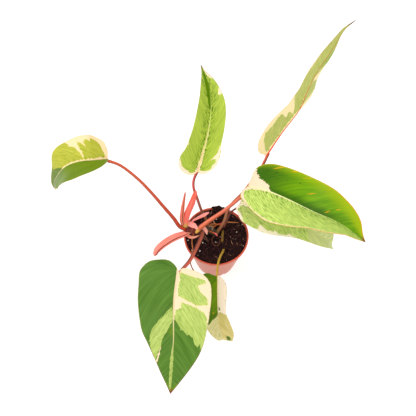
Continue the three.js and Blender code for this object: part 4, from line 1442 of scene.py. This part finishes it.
turn = np.linspace(0, 2 * np.pi, SCAR_CORNERS + 1)[:, None]
scar_side = unit(np.cross(SCAR_FACING, np.array([0.0, 1.0, 0.2])))
scar_up = np.cross(SCAR_FACING, scar_side)
circle = SCAR_AT + SCAR_RADIUS * (scar_side * np.cos(turn) + SCAR_OVAL * scar_up * np.sin(turn))
cork, tree, shader = new_material("leaf_scar_cork", 0.7, specular=0.25)
shader.inputs["Base Color"].default_value = linear("#A87C60")
points, triangles, values = sweep(circle, 60, 10, cord_section)
make_piece("leaf_scar_ring", points, triangles, cork, values=values)

disc = np.vstack([SCAR_AT + SCAR_DOME * SCAR_FACING, circle[:-1]])
back_of_disc = disc - SCAR_THICKNESS * SCAR_FACING
rim = np.arange(1, SCAR_CORNERS + 1)
following = np.roll(rim, -1)
deeper = len(disc)
front_faces = np.stack([0 * rim, rim, following], 1)
side_faces = np.vstack([
    np.stack([rim, rim + deeper, following], 1),
    np.stack([following, rim + deeper, following + deeper], 1),
])
scab, tree, shader = new_material("leaf_scar_scab", 0.8, specular=0.2)
shader.inputs["Base Color"].default_value = linear("#5C5244")
solid = np.vstack([front_faces, side_faces, front_faces[:, ::-1] + deeper])
make_piece("leaf_scar_face", np.vstack([disc, back_of_disc]), solid, scab)

# %% [markdown]
# A new leaf grows inside a sheath, a fleshy pink scale rolled into a tube that is open along one
# side. A solid cone would hide that it is hollow, so it is a thin wall bent round its route: the
# outer skin runs from one lip round to the other, and the inner skin runs back.

# %% Sheaths
SHEATHS = {
    "spike": {
        "route": [[-59, -4, 146], [-61, 2, 162], [-59, 14, 182], [-54, 32, 205]],
        "radius": [3.2, 4.1, 3.1, 1.2], "flatness": 0.75, "across": [1, 0, 0], "slit": 70, "opening": 14,
        "outside": "#DC6A54", "base": "#E27A62", "inside": "#B4624C", "foot": "#C06A50",
    },
    "blunt": {
        "route": [[-56, -5, 146], [-52, 8, 167], [-43, 21, 186], [-36, 35, 203]],
        "radius": [4, 5.5, 5.3, 3], "flatness": 0.7, "across": [1, 0, 0], "slit": 250, "opening": 30,
        "outside": "#EC5C48", "base": "#EE7466", "inside": "#C04A3C", "foot": "#C49A4C",
    },
    "boat": {
        "route": [
            [-47, -9, 136], [-57, -15, 138], [-74, -24, 142], [-91, -37, 145], [-103, -50, 146],
            [-108, -61, 143],
        ],
        "radius": [3, 5.6, 6.9, 6.8, 5.8, 3], "flatness": 0.7, "across": [0.5, -1, 0],
        "slit": 318, "opening": 5,
        "outside": "#F48A7C", "base": "#F28A78", "inside": "#E8604C", "foot": "#F09A84",
    },
    "clasp": {
        "route": [[-44, -5, 136], [-43, 5, 147], [-33, 10, 151], [-22, 14, 155], [-13, 17, 159]],
        "radius": [7, 3.4, 5, 7, 2.4], "flatness": 0.35, "across": [0, 1, 0.3], "slit": 150, "opening": 50,
        "outside": "#FA968C", "base": "#F47A70", "inside": "#F8A89C", "foot": "#8A3A2C",
    },
    "stub": {
        "route": [[-26, -9, 123], [-20, -15, 121], [-14, -20, 117]],
        "radius": [3.2, 3, 0.8], "flatness": 0.6, "across": [0, 1, 0], "slit": 250, "opening": 30,
        "outside": "#4A261C", "base": "#5A3022", "inside": "#3A1C14", "foot": "#6A3A2C",
    },
}

# Thin old flaps at the crown, drier and mostly paler inside, lie against the pieces above
FLAPS = {
    "lower": {
        "route": [[-55, -11, 130], [-47, -16.5, 129], [-39, -17, 129], [-31, -14, 130]],
        "radius": [3.4, 3.6, 2.6, 0.9], "flatness": 0.5, "across": [0, -1, 0.3], "slit": 300, "opening": 90,
        "outside": "#F2A088", "base": "#EE7C68", "inside": "#F4C49C", "foot": "#EE7C68",
    },
    "middle": {
        "route": [[-29, 3, 130], [-24, 1, 131], [-19, -4, 128], [-17, -9, 123]],
        "radius": [1.6, 3.6, 3.2, 0.8], "flatness": 0.4, "across": [0, 1, 0.3], "slit": 100, "opening": 80,
        "outside": "#F2A898", "base": "#F08A7E", "inside": "#F4C8A8", "foot": "#F08A7E",
    },
    "upper": {
        "route": [[-53, -3, 147], [-47, -1, 147], [-40, -3, 146], [-33.5, -9, 144]],
        "radius": [1.6, 5, 4.6, 1.2], "flatness": 0.3, "across": [0, 1, 0.3], "slit": 100, "opening": 80,
        "outside": "#FA9C92", "base": "#F8877C", "inside": "#F8B0A4", "foot": "#F07A70",
    },
}
SHEATH_STEPS = 70
SHEATH_SIDES = 56
SHEATH_WALL = 0.9
THINNEST = 0.05


def sheath_section(sheath):
    """An oval wall with a slit. The first half of the ring of points is the outer skin, from lip to
    lip the long way round, and the second half is the inner skin going back."""
    slit = math.radians(sheath["slit"])
    opening = math.radians(sheath["opening"])

    def section(share, angle):
        size = along(sheath["radius"], share) * rounded_end(share, 1.004, 0.06)
        turn = angle / (2 * np.pi)
        outer = turn < 0.5
        way = np.where(outer, turn * 2, (1 - turn) * 2)
        gap = opening * ramp(0, 0.3, share)
        bearing = slit + gap / 2 + (2 * np.pi - gap) * way
        wall = np.where(outer, 0, SHEATH_WALL * np.minimum(1, size / 3))
        reach = np.maximum(size - wall, THINNEST)
        deep = np.maximum(size * sheath["flatness"] - wall, THINNEST)
        lip = 1 + 0.1 * np.exp(-((np.minimum(way, 1 - way) / 0.04) ** 2))
        keels = 1 + 0.05 * np.maximum(0, np.cos(3 * bearing)) ** 4
        return reach * np.cos(bearing) * lip * keels, deep * np.sin(bearing) * lip * keels
    return section


def sheath_skin(name, sheath):
    """Sheath skin: a soft fleshy scale, pink with fine dark and pale lines along it, a foot in its
    own tone, and its own colour inside."""
    material, tree, shader = new_material("sheath_flesh_" + name, 0.45, ior=1.42, specular=0.3)
    grid, share, turn = swept_values(tree)
    lined = stretched_noise(tree, grid, (7.0, 7.0, 1 / 30.0), 3.0)
    base, outside, inside, foot = [sheath[key] for key in ("base", "outside", "inside", "foot")]
    color = node(tree, "Mix", {FACTOR: share, A: base, B: outside}, **COLORS)
    lines = node(tree, "MapRange", {"Value": lined, "From Min": 0.45, "From Max": 0.7, "To Max": 0.5})
    pale = node(tree, "MapRange", {"Value": lined, "From Min": 0.45, "From Max": 0.28, "To Max": 0.45})
    within = node(tree, "MapRange", {"Value": turn, "From Min": 0.5, "From Max": 0.53})
    at_foot = node(tree, "MapRange", {"Value": share, "From Min": 0.16, "From Max": 0.04}, **SMOOTH)
    for amount, hue in ((lines, inside), (pale, "#F6BEAA"), (within, inside), (at_foot, foot)):
        color = node(tree, "Mix", {FACTOR: amount, A: color, B: hue}, **COLORS)
    coat(tree, shader, color, lined, 0.5, 0.3)
    return material


for name, sheath in {**SHEATHS, **FLAPS}.items():
    across = unit(np.array(sheath["across"], float))
    section = sheath_section(sheath)
    points, triangles, values = sweep(sheath["route"], SHEATH_STEPS, SHEATH_SIDES, section, across)
    replaced = ["sheath_" + name] if name in SHEATHS else []
    make_piece("scale_" + name, points, triangles, sheath_skin(name, sheath), replaced, values)

# %% [markdown]
# Aerial roots are cords of about two millimetres, rough and a little knotty, orange when young and
# brown when old. A bevelled curve would stay evenly round, so they are swept like the stalks, and
# waves of three lengths make the knots.

# %% Aerial roots
ROOTS = {
    "rim": {
        "route": [
            [-40, -7, 131], [-44, -19, 119], [-43, -32, 111], [-45, -46, 109], [-47, -55, 104],
            [-43, -62, 90], [-37, -63, 76],
        ],
        "radius": [1.3, 1.2, 1.1, 1.1, 1.1, 1.1, 0.8],
        "low": "#B4663A", "high": "#9A4A24", "crack": "#6A3018",
    },
    "cross": {
        "route": [[-9, 14, 104], [4, 23, 103.5], [9, 20, 103], [16, 27, 104], [24, 27, 103.5], [42, 27, 102]],
        "radius": [1.5, 1.3, 1.2, 1.2, 1.1, 0.8], "low": "#C06834", "high": "#C47A48", "crack": "#7A3A1C",
    },
    "loop": {
        "route": [
            [-4, 0, 101], [-8, -10, 101.5], [-4, -19, 101], [4, -20, 101.5], [7, -11, 101], [6, -3, 97],
        ],
        "radius": [1.3, 1.2, 1.2, 1.2, 1.2, 1], "low": "#5A3024", "high": "#6A3C2C", "crack": "#2E1812",
    },
}

# Young roots near the crown end in soft pink tips, and older ones cross between them
YOUNG_ROOTS = {
    "back": {
        "route": [
            [-19, 11, 113], [-13, 17, 110], [-6, 21, 108.5], [3, 20, 108], [9, 21, 108.5], [15, 26, 109],
        ],
        "radius": [1.1, 1.2, 1.1, 1.1, 1.3, 1.2], "low": "#B8622C", "high": "#E84A4C", "crack": "#8A3A1C",
    },
    "front": {
        "route": [[-33, 5, 122], [-21, 5, 121], [-14, 0, 120], [-7, -2, 118], [-1, -4, 116.5], [2, -8, 115]],
        "radius": [1.0, 1.1, 1.1, 1.4, 1.5, 1.0], "low": "#A8501E", "high": "#EE6A68", "crack": "#8A3418",
    },
    "cord": {
        "route": [[-18, 7, 114], [-13, 14, 113], [-7, 17, 111], [-3, 24, 106], [-8, 34, 103]],
        "radius": [0.9, 0.9, 0.8, 0.8, 0.6], "low": "#9A6A3C", "high": "#B89070", "crack": "#5A3418",
    },
    "twist": {
        "route": [[6, -4, 106], [12, -8, 103], [10, -16, 103], [16, -20, 101], [19, -12, 100]],
        "radius": [1.2, 1.3, 1.2, 1.2, 0.9], "low": "#6A4232", "high": "#5A3428", "crack": "#2E1A12",
    },
}
ROOT_STEPS = 110
ROOT_SIDES = 12


def root_section(root):
    """A round section whose size wanders along the root, and closes to a point at its tip."""
    def section(share, angle):
        knots = 0.1 * np.sin(31 * share) + 0.07 * np.sin(53 * share + 2 * angle) + 0.05 * np.sin(97 * share)
        size = along(root["radius"], share) * rounded_end(share, 1.003, 0.05) * (1 + knots)
        return size * np.cos(angle), size * np.sin(angle)
    return section


def root_skin(name, root):
    """Root skin: a dry corky sleeve with fine cracks round it, in a tone of its own at the tip."""
    material, tree, shader = new_material("root_cork_" + name, 0.7, specular=0.25)
    grid, share, _ = swept_values(tree)
    cracked = stretched_noise(tree, grid, (1.0, 1.0, 1 / 0.9), 3.0)
    tip = node(tree, "MapRange", {"Value": share, "From Min": 0.6, "From Max": 0.8}, **SMOOTH)
    color = node(tree, "Mix", {FACTOR: tip, A: root["low"], B: root["high"]}, **COLORS)
    amount = node(tree, "MapRange", {"Value": cracked, "From Min": 0.48, "From Max": 0.66, "To Max": 0.55})
    color = node(tree, "Mix", {FACTOR: amount, A: color, B: root["crack"]}, **COLORS)
    coat(tree, shader, color, cracked, 0.6)
    return material


for name, root in {**ROOTS, **YOUNG_ROOTS}.items():
    kind = "aerial_root_" if name in ROOTS else "young_root_"
    replaced = ["root_" + name] if name in ROOTS else []
    cork = root_skin(name if name in ROOTS else "young_" + name, root)
    points, triangles, values = sweep(root["route"], ROOT_STEPS, ROOT_SIDES, root_section(root))
    make_piece(kind + name, points, triangles, cork, replaced, values)

# %% [markdown]
# The pot is a thin-walled nursery pot, thermoformed from polypropylene, with a rolled rim, shallow
# steps in the wall and arched drainage notches round its foot. Its profile could be spun with the
# Screw modifier and the notches cut out. Here the foot's edge is lifted over each notch by the height
# of a circle there instead, so nothing is cut and the mesh stays clean.

# %% Pot
POT_HEIGHT = 103.0
RIM_RADIUS = 60.0
RIM_DEPTH = 5.0
RIM_STEP = 1.2
FOOT_RADIUS = 38.0
FOOT_EDGE = 7.0
WALL = 1.2
WALL_STEPS = (9, 84, 90)
STEP_OUT = 0.25
CORNER_RADIUS = 0.8
POT_FLOOR = 1.6
POT_TAPER = (RIM_RADIUS - RIM_STEP - FOOT_RADIUS) / POT_HEIGHT
DRAIN_NOTCHES = 8
NOTCH_RADIUS = 3.5
NOTCH_FADE = 6.0
INSIDE_ROWS = 8
RIM_ONLY = 50
POT_SIDES = 256


def wall_at(height):
    """The outer radius of the wall: the foot's, and the taper times the height."""
    return FOOT_RADIUS + POT_TAPER * height


def rounded(profile, radius, steps=5):
    """Replaces each inner corner of a profile by a short curve that leaves its sides near it."""
    profile = np.asarray(profile, float)
    points = [profile[:1]]
    for before, corner, after in zip(profile[:-2], profile[1:-1], profile[2:]):
        cut = min(radius, 0.45 * np.linalg.norm(corner - before), 0.45 * np.linalg.norm(after - corner))
        a = corner + (before - corner) / np.linalg.norm(before - corner) * cut
        b = corner + (after - corner) / np.linalg.norm(after - corner) * cut
        t = np.linspace(0, 1, steps)[:, None]
        points.append((1 - t) ** 2 * a + 2 * t * (1 - t) * corner + t**2 * b)
    points.append(profile[-1:])
    return np.vstack(points)


under_rim = POT_HEIGHT - RIM_DEPTH
mouth = wall_at(POT_HEIGHT) - WALL
sunk = POT_FLOOR - WALL
outline = [[0, sunk], [FOOT_RADIUS - FOOT_EDGE - 1, sunk], [FOOT_RADIUS - FOOT_EDGE + 1, 0], [wall_at(0), 0]]
for height in WALL_STEPS:
    outline += [[wall_at(height), height], [wall_at(height + 1) + STEP_OUT, height + 1]]
outline += [
    [wall_at(under_rim) + STEP_OUT, under_rim], [RIM_RADIUS, under_rim], [RIM_RADIUS, POT_HEIGHT],
    [mouth, POT_HEIGHT], [wall_at(POT_FLOOR) - WALL, POT_FLOOR], [0, POT_FLOOR],
]
profile = rounded(outline, CORNER_RADIUS)
level = profile[:, 1:2]
angle = 2 * np.pi * np.arange(POT_SIDES) / POT_SIDES
radius = profile[:, 0:1] + 0 * angle
pitch = 2 * np.pi / DRAIN_NOTCHES
off_notch = (angle % pitch - pitch / 2) * FOOT_RADIUS
arch = np.sqrt(np.maximum(0, NOTCH_RADIUS**2 - off_notch**2))
before_inside = np.arange(len(profile))[:, None] < len(profile) - INSIDE_ROWS
outside = (profile[:, 0:1] > FOOT_RADIUS - FOOT_EDGE) & before_inside
height = level + np.where(outside, arch * np.clip(1 - level / NOTCH_FADE, 0, 1), 0)
lip = ramp(under_rim, POT_HEIGHT, level)
radius = radius + lip * (0.25 * np.sin(3 * angle + 0.6) + 0.12 * np.sin(7 * angle)) * (radius > RIM_ONLY)
points = np.stack([radius * np.cos(angle), radius * np.sin(angle), height], -1).reshape(-1, 3)
triangles = grid_triangles(len(profile), POT_SIDES, wrap=True)[:, ::-1]

plastic, tree, shader = new_material("thermoformed_polypropylene", 0.42, ior=1.49, specular=0.45)
place = node(tree, "TexCoord", out=3)
split = node(tree, "SeparateXYZ", {0: place}, None)
cloud = node(tree, "TexNoise", {"Vector": place, "Scale": 1 / (18 * MM), "Detail": 3.0})
grit = node(tree, "TexNoise", {"Vector": place, "Scale": 1 / (1.5 * MM), "Detail": 2.0})
color = node(tree, "Mix", {FACTOR: cloud, A: "#BA624A", B: "#C46D56"}, **COLORS)
# The top of the rim is painted a deeper red: painted light, for the light that shines through the thin
# plastic there
light_through_rim = node(tree, "MapRange", {
    "Value": split.outputs[2], "From Min": (under_rim + 2.6) * MM, "From Max": (under_rim + 4) * MM,
})
dusty = node(tree, "MapRange", {"Value": grit, "From Min": 0.66, "From Max": 0.74, "To Max": 0.5})
for amount, hue in ((light_through_rim, "#CC4A2C"), (dusty, "#7A4A38")):
    color = node(tree, "Mix", {FACTOR: amount, A: color, B: hue}, **COLORS)
coat(tree, shader, color, grit, 0.15, 0.1)
make_piece("nursery_pot", points, triangles, plastic, ["pot"])

# %% [markdown]
# Potting soil here is dark moist peat with fine bark, white perlite and a few wood fibres. Displace
# could roughen a disc, but the loose bits have to know how high the soil is under them. So its height
# is a function of the place: crossed waves, a heap and several sizes of lumpy noise.

# %% Height of the soil
SOIL_TOP = 98.0
HEAP_HEIGHT = 5.0
HEAP_AT = (6.0, 44.0)
HEAP_SPREAD = 17.0
CRUMB_HEIGHT = 1.1
LATTICE = 256
draw = np.random.default_rng(12)


def lumps(x, y, size, seed):
    """Smooth noise from -1 to 1 with blots of one size: random heights on a square lattice, joined
    by the curve 3t2 - 2t3 along both axes."""
    lattice = np.random.default_rng(seed).uniform(-1, 1, (LATTICE, LATTICE))
    u, v = x / size + LATTICE // 2, y / size + LATTICE // 2
    i, j = np.floor(u).astype(int), np.floor(v).astype(int)
    f, g = ramp(0, 1, u - i), ramp(0, 1, v - j)
    i, j = i % (LATTICE - 1), j % (LATTICE - 1)
    low = lattice[i, j] * (1 - f) + lattice[i + 1, j] * f
    high = lattice[i, j + 1] * (1 - f) + lattice[i + 1, j + 1] * f
    return low * (1 - g) + high * g


def soil_level(x, y):
    """Height of the soil: the waves and heap of the solid underneath, with crumbs on top."""
    waves = np.sin(0.31 * x + 1.7) * np.sin(0.27 * y + 0.4)
    waves = waves + 0.6 * np.sin(0.63 * x - 0.41 * y) + 0.5 * np.sin(0.22 * x + 0.71 * y + 2.1)
    away = np.hypot(x - HEAP_AT[0], y - HEAP_AT[1]) / HEAP_SPREAD
    crumbs = 1.3 * np.abs(lumps(x, y, 3.4, 1)) + 0.9 * np.abs(lumps(x, y, 1.7, 2)) + 0.4 * lumps(x, y, 0.8, 3)
    return SOIL_TOP + CRUMB_HEIGHT * waves + HEAP_HEIGHT * np.exp(-(away**2)) + crumbs


print("the heap is", round(float(soil_level(*HEAP_AT)), 1), "mm above the floor")

# %% [markdown]
# The soil's surface is laid out in rings from the middle. A grid of squares would be as fine, but its
# edge would be jagged against the wall. Below the surface a plain skirt closes it down to the floor of
# the pot.

# %% Soil surface
SOIL_GAP = 0.4
SOIL_RINGS = 150
SOIL_SIDES = 420
SKIRT_LEVELS = (60.0, 2.0)

soil_reach = wall_at(SOIL_TOP) - WALL - SOIL_GAP
ring = np.linspace(0, 1, SOIL_RINGS)[:, None] ** 0.8 * soil_reach
angle = 2 * np.pi * np.arange(SOIL_SIDES)[None, :] / SOIL_SIDES
x, y = ring * np.cos(angle), ring * np.sin(angle)
surface = np.stack([x, y, soil_level(x, y)], -1)
half_way, bottom = SKIRT_LEVELS
skirt_reach = [wall_at(half_way) - WALL - SOIL_GAP, wall_at(bottom) - WALL - 1.5 * SOIL_GAP, 0.0]
skirt_reach = np.array(skirt_reach)[:, None]
skirt_level = np.array([half_way, bottom, bottom])[:, None]
skirt = np.stack([skirt_reach * np.cos(angle), skirt_reach * np.sin(angle), skirt_level + 0 * angle], -1)
points = np.vstack([surface, skirt]).reshape(-1, 3)
triangles = grid_triangles(SOIL_RINGS + 3, SOIL_SIDES, wrap=True)

peat, tree, shader = new_material("moist_peat_and_bark", 0.85, specular=0.12)
place = node(tree, "TexCoord", out=3)
coarse = node(tree, "TexNoise", {"Vector": place, "Scale": 1 / (5 * MM), "Detail": 4.0})
fine = node(tree, "TexNoise", {"Vector": place, "Scale": 1 / (2.6 * MM), "Detail": 3.0})
color = node(tree, "Mix", {FACTOR: coarse, A: "#0E0608", B: "#2C1616"}, **COLORS)
bits = node(tree, "MapRange", {"Value": fine, "From Min": 0.54, "From Max": 0.66, "To Max": 0.75})
color = node(tree, "Mix", {FACTOR: bits, A: color, B: "#5E3430"}, **COLORS)
coat(tree, shader, color, fine, 0.8, 0.5)
make_piece("potting_soil", points, triangles, peat, ["soil"])

# %% [markdown]
# Crumbs and perlite grains are both small rough pebbles. A particle system could scatter them,
# but the export wants plain meshes. So one pebble of 20 faces is stretched, turned and copied in
# arrays, at places from a seeded draw, and each kind of bit is one piece.

# %% Pebbles
GOLDEN = (1 + math.sqrt(5)) / 2
SUNK_SHARE = 0.25


def pebble():
    """The 12 corners and 20 faces of an icosahedron, from the golden ratio."""
    g = GOLDEN
    corners = [(-1, g, 0), (1, g, 0), (-1, -g, 0), (1, -g, 0), (0, -1, g), (0, 1, g)]
    corners += [(0, -1, -g), (0, 1, -g), (g, 0, -1), (g, 0, 1), (-g, 0, -1), (-g, 0, 1)]
    faces = [
        (0, 11, 5), (0, 5, 1), (0, 1, 7), (0, 7, 10), (0, 10, 11), (1, 5, 9), (5, 11, 4),
        (11, 10, 2), (10, 7, 6), (7, 1, 8), (3, 9, 4), (3, 4, 2), (3, 2, 6), (3, 6, 8),
        (3, 8, 9), (4, 9, 5), (2, 4, 11), (6, 2, 10), (8, 6, 7), (9, 8, 1),
    ]
    return unit(np.array(corners, float)), np.array(faces)


def scatter(places, sizes, stretch, rise=0.0):
    """Copies the pebble to each place on the soil, with its own size, stretch, turn and dents, and
    with its own rise above the surface where it lies on others."""
    corners, faces = pebble()
    count = len(places)
    shape = corners[None] * draw.uniform(0.75, 1.25, (count, len(corners), 1))
    shape = shape * draw.uniform(1 / stretch, 1, (count, 1, 3)) * np.asarray(sizes)[:, None, None]
    turn, tilt = draw.uniform(0, 2 * np.pi, (2, count, 1))
    x = shape[..., 0] * np.cos(turn) - shape[..., 1] * np.sin(turn)
    y = shape[..., 0] * np.sin(turn) + shape[..., 1] * np.cos(turn)
    z = shape[..., 2] * np.cos(0.4 * tilt) + 0.3 * x * np.sin(tilt)
    level = soil_level(places[:, 0:1], places[:, 1:2]) + SUNK_SHARE * np.asarray(sizes)[:, None]
    level = level + np.broadcast_to(rise, len(places))[:, None]
    points = np.stack([x + places[:, 0:1], y + places[:, 1:2], z + level], -1).reshape(-1, 3)
    numbers = np.arange(count)[:, None, None] * len(corners) + faces[None]
    return points, numbers.reshape(-1, 3)


def over_soil(count, reach=0.97):
    """Places spread evenly over the round surface, by a radius that is the root of a draw."""
    radius = soil_reach * reach * np.sqrt(draw.uniform(0, 1, count))
    turn = draw.uniform(0, 2 * np.pi, count)
    return np.stack([radius * np.cos(turn), radius * np.sin(turn)], 1)


print("pebble:", len(pebble()[0]), "corners")

# %% [markdown]
# The crumbs come in all sizes, and most of them are small, so their size is a draw to the power of 3.
# Coarse peat also stands in two piles: one leans on the back of the rim, and one lies over the foot
# of the small stalk. A raised surface could stand for a pile, but it would have no gaps and shadows.

# %% Crumbs and piles
CRUMBS = 1500
points, triangles = scatter(over_soil(CRUMBS), 0.5 + 1.5 * draw.uniform(0, 1, CRUMBS) ** 3, 2.2)
make_piece("peat_crumbs", points, triangles, peat, flat=True)

# Each pile has its middle, its spread along X and Y, its height and its number of crumbs. Crumbs past
# the soil's edge lie on the rim, and none of them is farther out than its middle
PILES = {"back": ((4, 54), (9.5, 11), 15, 330), "small_stalk": ((12, -23), (4.5, 10), 12, 190)}
RIM_MIDDLE = (mouth + RIM_RADIUS) / 2 - 0.5
ON_RIM = (0.5, 3.5)
for name, (middle, spread, rise, count) in PILES.items():
    places = np.array(middle) + draw.normal(0, 0.45, (count, 2)) * np.array(spread)
    sizes = 1.0 + 1.6 * draw.uniform(0, 1, count)
    fall = np.exp(-((((places - middle) / np.array(spread)) ** 2).sum(1)))
    lift = rise * fall * draw.uniform(0.3, 1, count)
    out = np.hypot(places[:, 0], places[:, 1])
    places *= np.minimum(1, RIM_MIDDLE / out)[:, None]
    on_rim = POT_HEIGHT + ON_RIM[0] + ON_RIM[1] * draw.uniform(0, 1, count)
    on_rim -= soil_level(places[:, 0], places[:, 1])
    points, triangles = scatter(places, sizes, 1.8, np.where(out > soil_reach - 1, on_rim, lift))
    make_piece("peat_pile_" + name, points, triangles, peat, flat=True)

# %% [markdown]
# Perlite is white volcanic glass blown up like popcorn. All its grains could be drawn by chance, but
# some large ones would then hide under leaves. So the large ones have places, and the fine are drawn.

# %% Perlite
PERLITE = [
    (1, 34), (49, 25), (38, 8), (-1, -12), (50, -19), (-52, -9), (-45, -7), (-45, -29), (-21, -5),
    (-25, -14), (2, -52), (-30, -31), (-5, 55),
]
FINE_GRAINS = 26

white, tree, shader = new_material("expanded_perlite", 0.8, specular=0.3)
place = node(tree, "TexCoord", out=3)
pores = node(tree, "TexNoise", {"Vector": place, "Scale": 1 / (0.8 * MM), "Detail": 2.0})
color = node(tree, "Mix", {FACTOR: pores, A: "#F2EDE0", B: "#CFC6B2"}, **COLORS)
coat(tree, shader, color)
grains = np.vstack([np.array(PERLITE, float), over_soil(FINE_GRAINS)])
large = 1.15 + 0.35 * draw.uniform(0, 1, len(PERLITE))
sizes = np.concatenate([large, 0.35 + 0.3 * draw.uniform(0, 1, FINE_GRAINS)])
points, triangles = scatter(grains, sizes, 1.4)
make_piece("perlite_grains", points, triangles, white, flat=True)

# %% [markdown]
# Wood fibres are thin flat splinters in the peat, two long ones and many short. Each could be one
# stretched box, but a short sweep over three points bends as a splinter does.

# %% Wood fibres
FIBRES = [((27, -10), (33, -22)), ((-13, 43), (-8, 53))]
SHORT_FIBRES = 34
FIBRE_RADIUS = 0.75
FIBRE_FLATNESS = 0.5
FIBRE_RISE = 0.6
THIN = 0.4

straw, tree, shader = new_material("wood_fibre", 0.7, specular=0.3)
place = node(tree, "TexCoord", out=3)
grain = node(tree, "TexNoise", {"Vector": place, "Scale": 1 / (1.5 * MM), "Detail": 2.0})
color = node(tree, "Mix", {FACTOR: grain, A: "#B98C6C", B: "#7A4C38"}, **COLORS)
coat(tree, shader, color)


def fibre_section(share, angle):
    """A flat oval that is widest half-way, by the root of a sine, and thin at both ends."""
    size = FIBRE_RADIUS * np.sqrt(np.sin(np.pi * np.clip(share, 0.01, 0.99)))
    return size * np.cos(angle), FIBRE_FLATNESS * size * np.sin(angle)


fibre_points, fibre_triangles, total = [], [], 0
twigs = list(FIBRES)
for start in over_soil(SHORT_FIBRES, 0.9):
    turn, run = draw.uniform(0, 2 * np.pi), draw.uniform(3, 8)
    twigs.append((tuple(start), tuple(start + run * np.array([math.cos(turn), math.sin(turn)]))))
for number, (start, end) in enumerate(twigs):
    middle = (np.array(start) + np.array(end)) / 2 + draw.uniform(-1, 1, 2)
    route = [[p[0], p[1], float(soil_level(p[0], p[1])) + FIBRE_RISE] for p in (start, middle, end)]
    thin = 1.0 if number < len(FIBRES) else THIN
    points, triangles, _ = sweep(route, 8, 6, lambda s, a: [thin * c for c in fibre_section(s, a)])
    fibre_points.append(points)
    fibre_triangles.append(triangles + total)
    total += len(points)
make_piece("wood_fibres", np.vstack(fibre_points), np.vstack(fibre_triangles), straw)
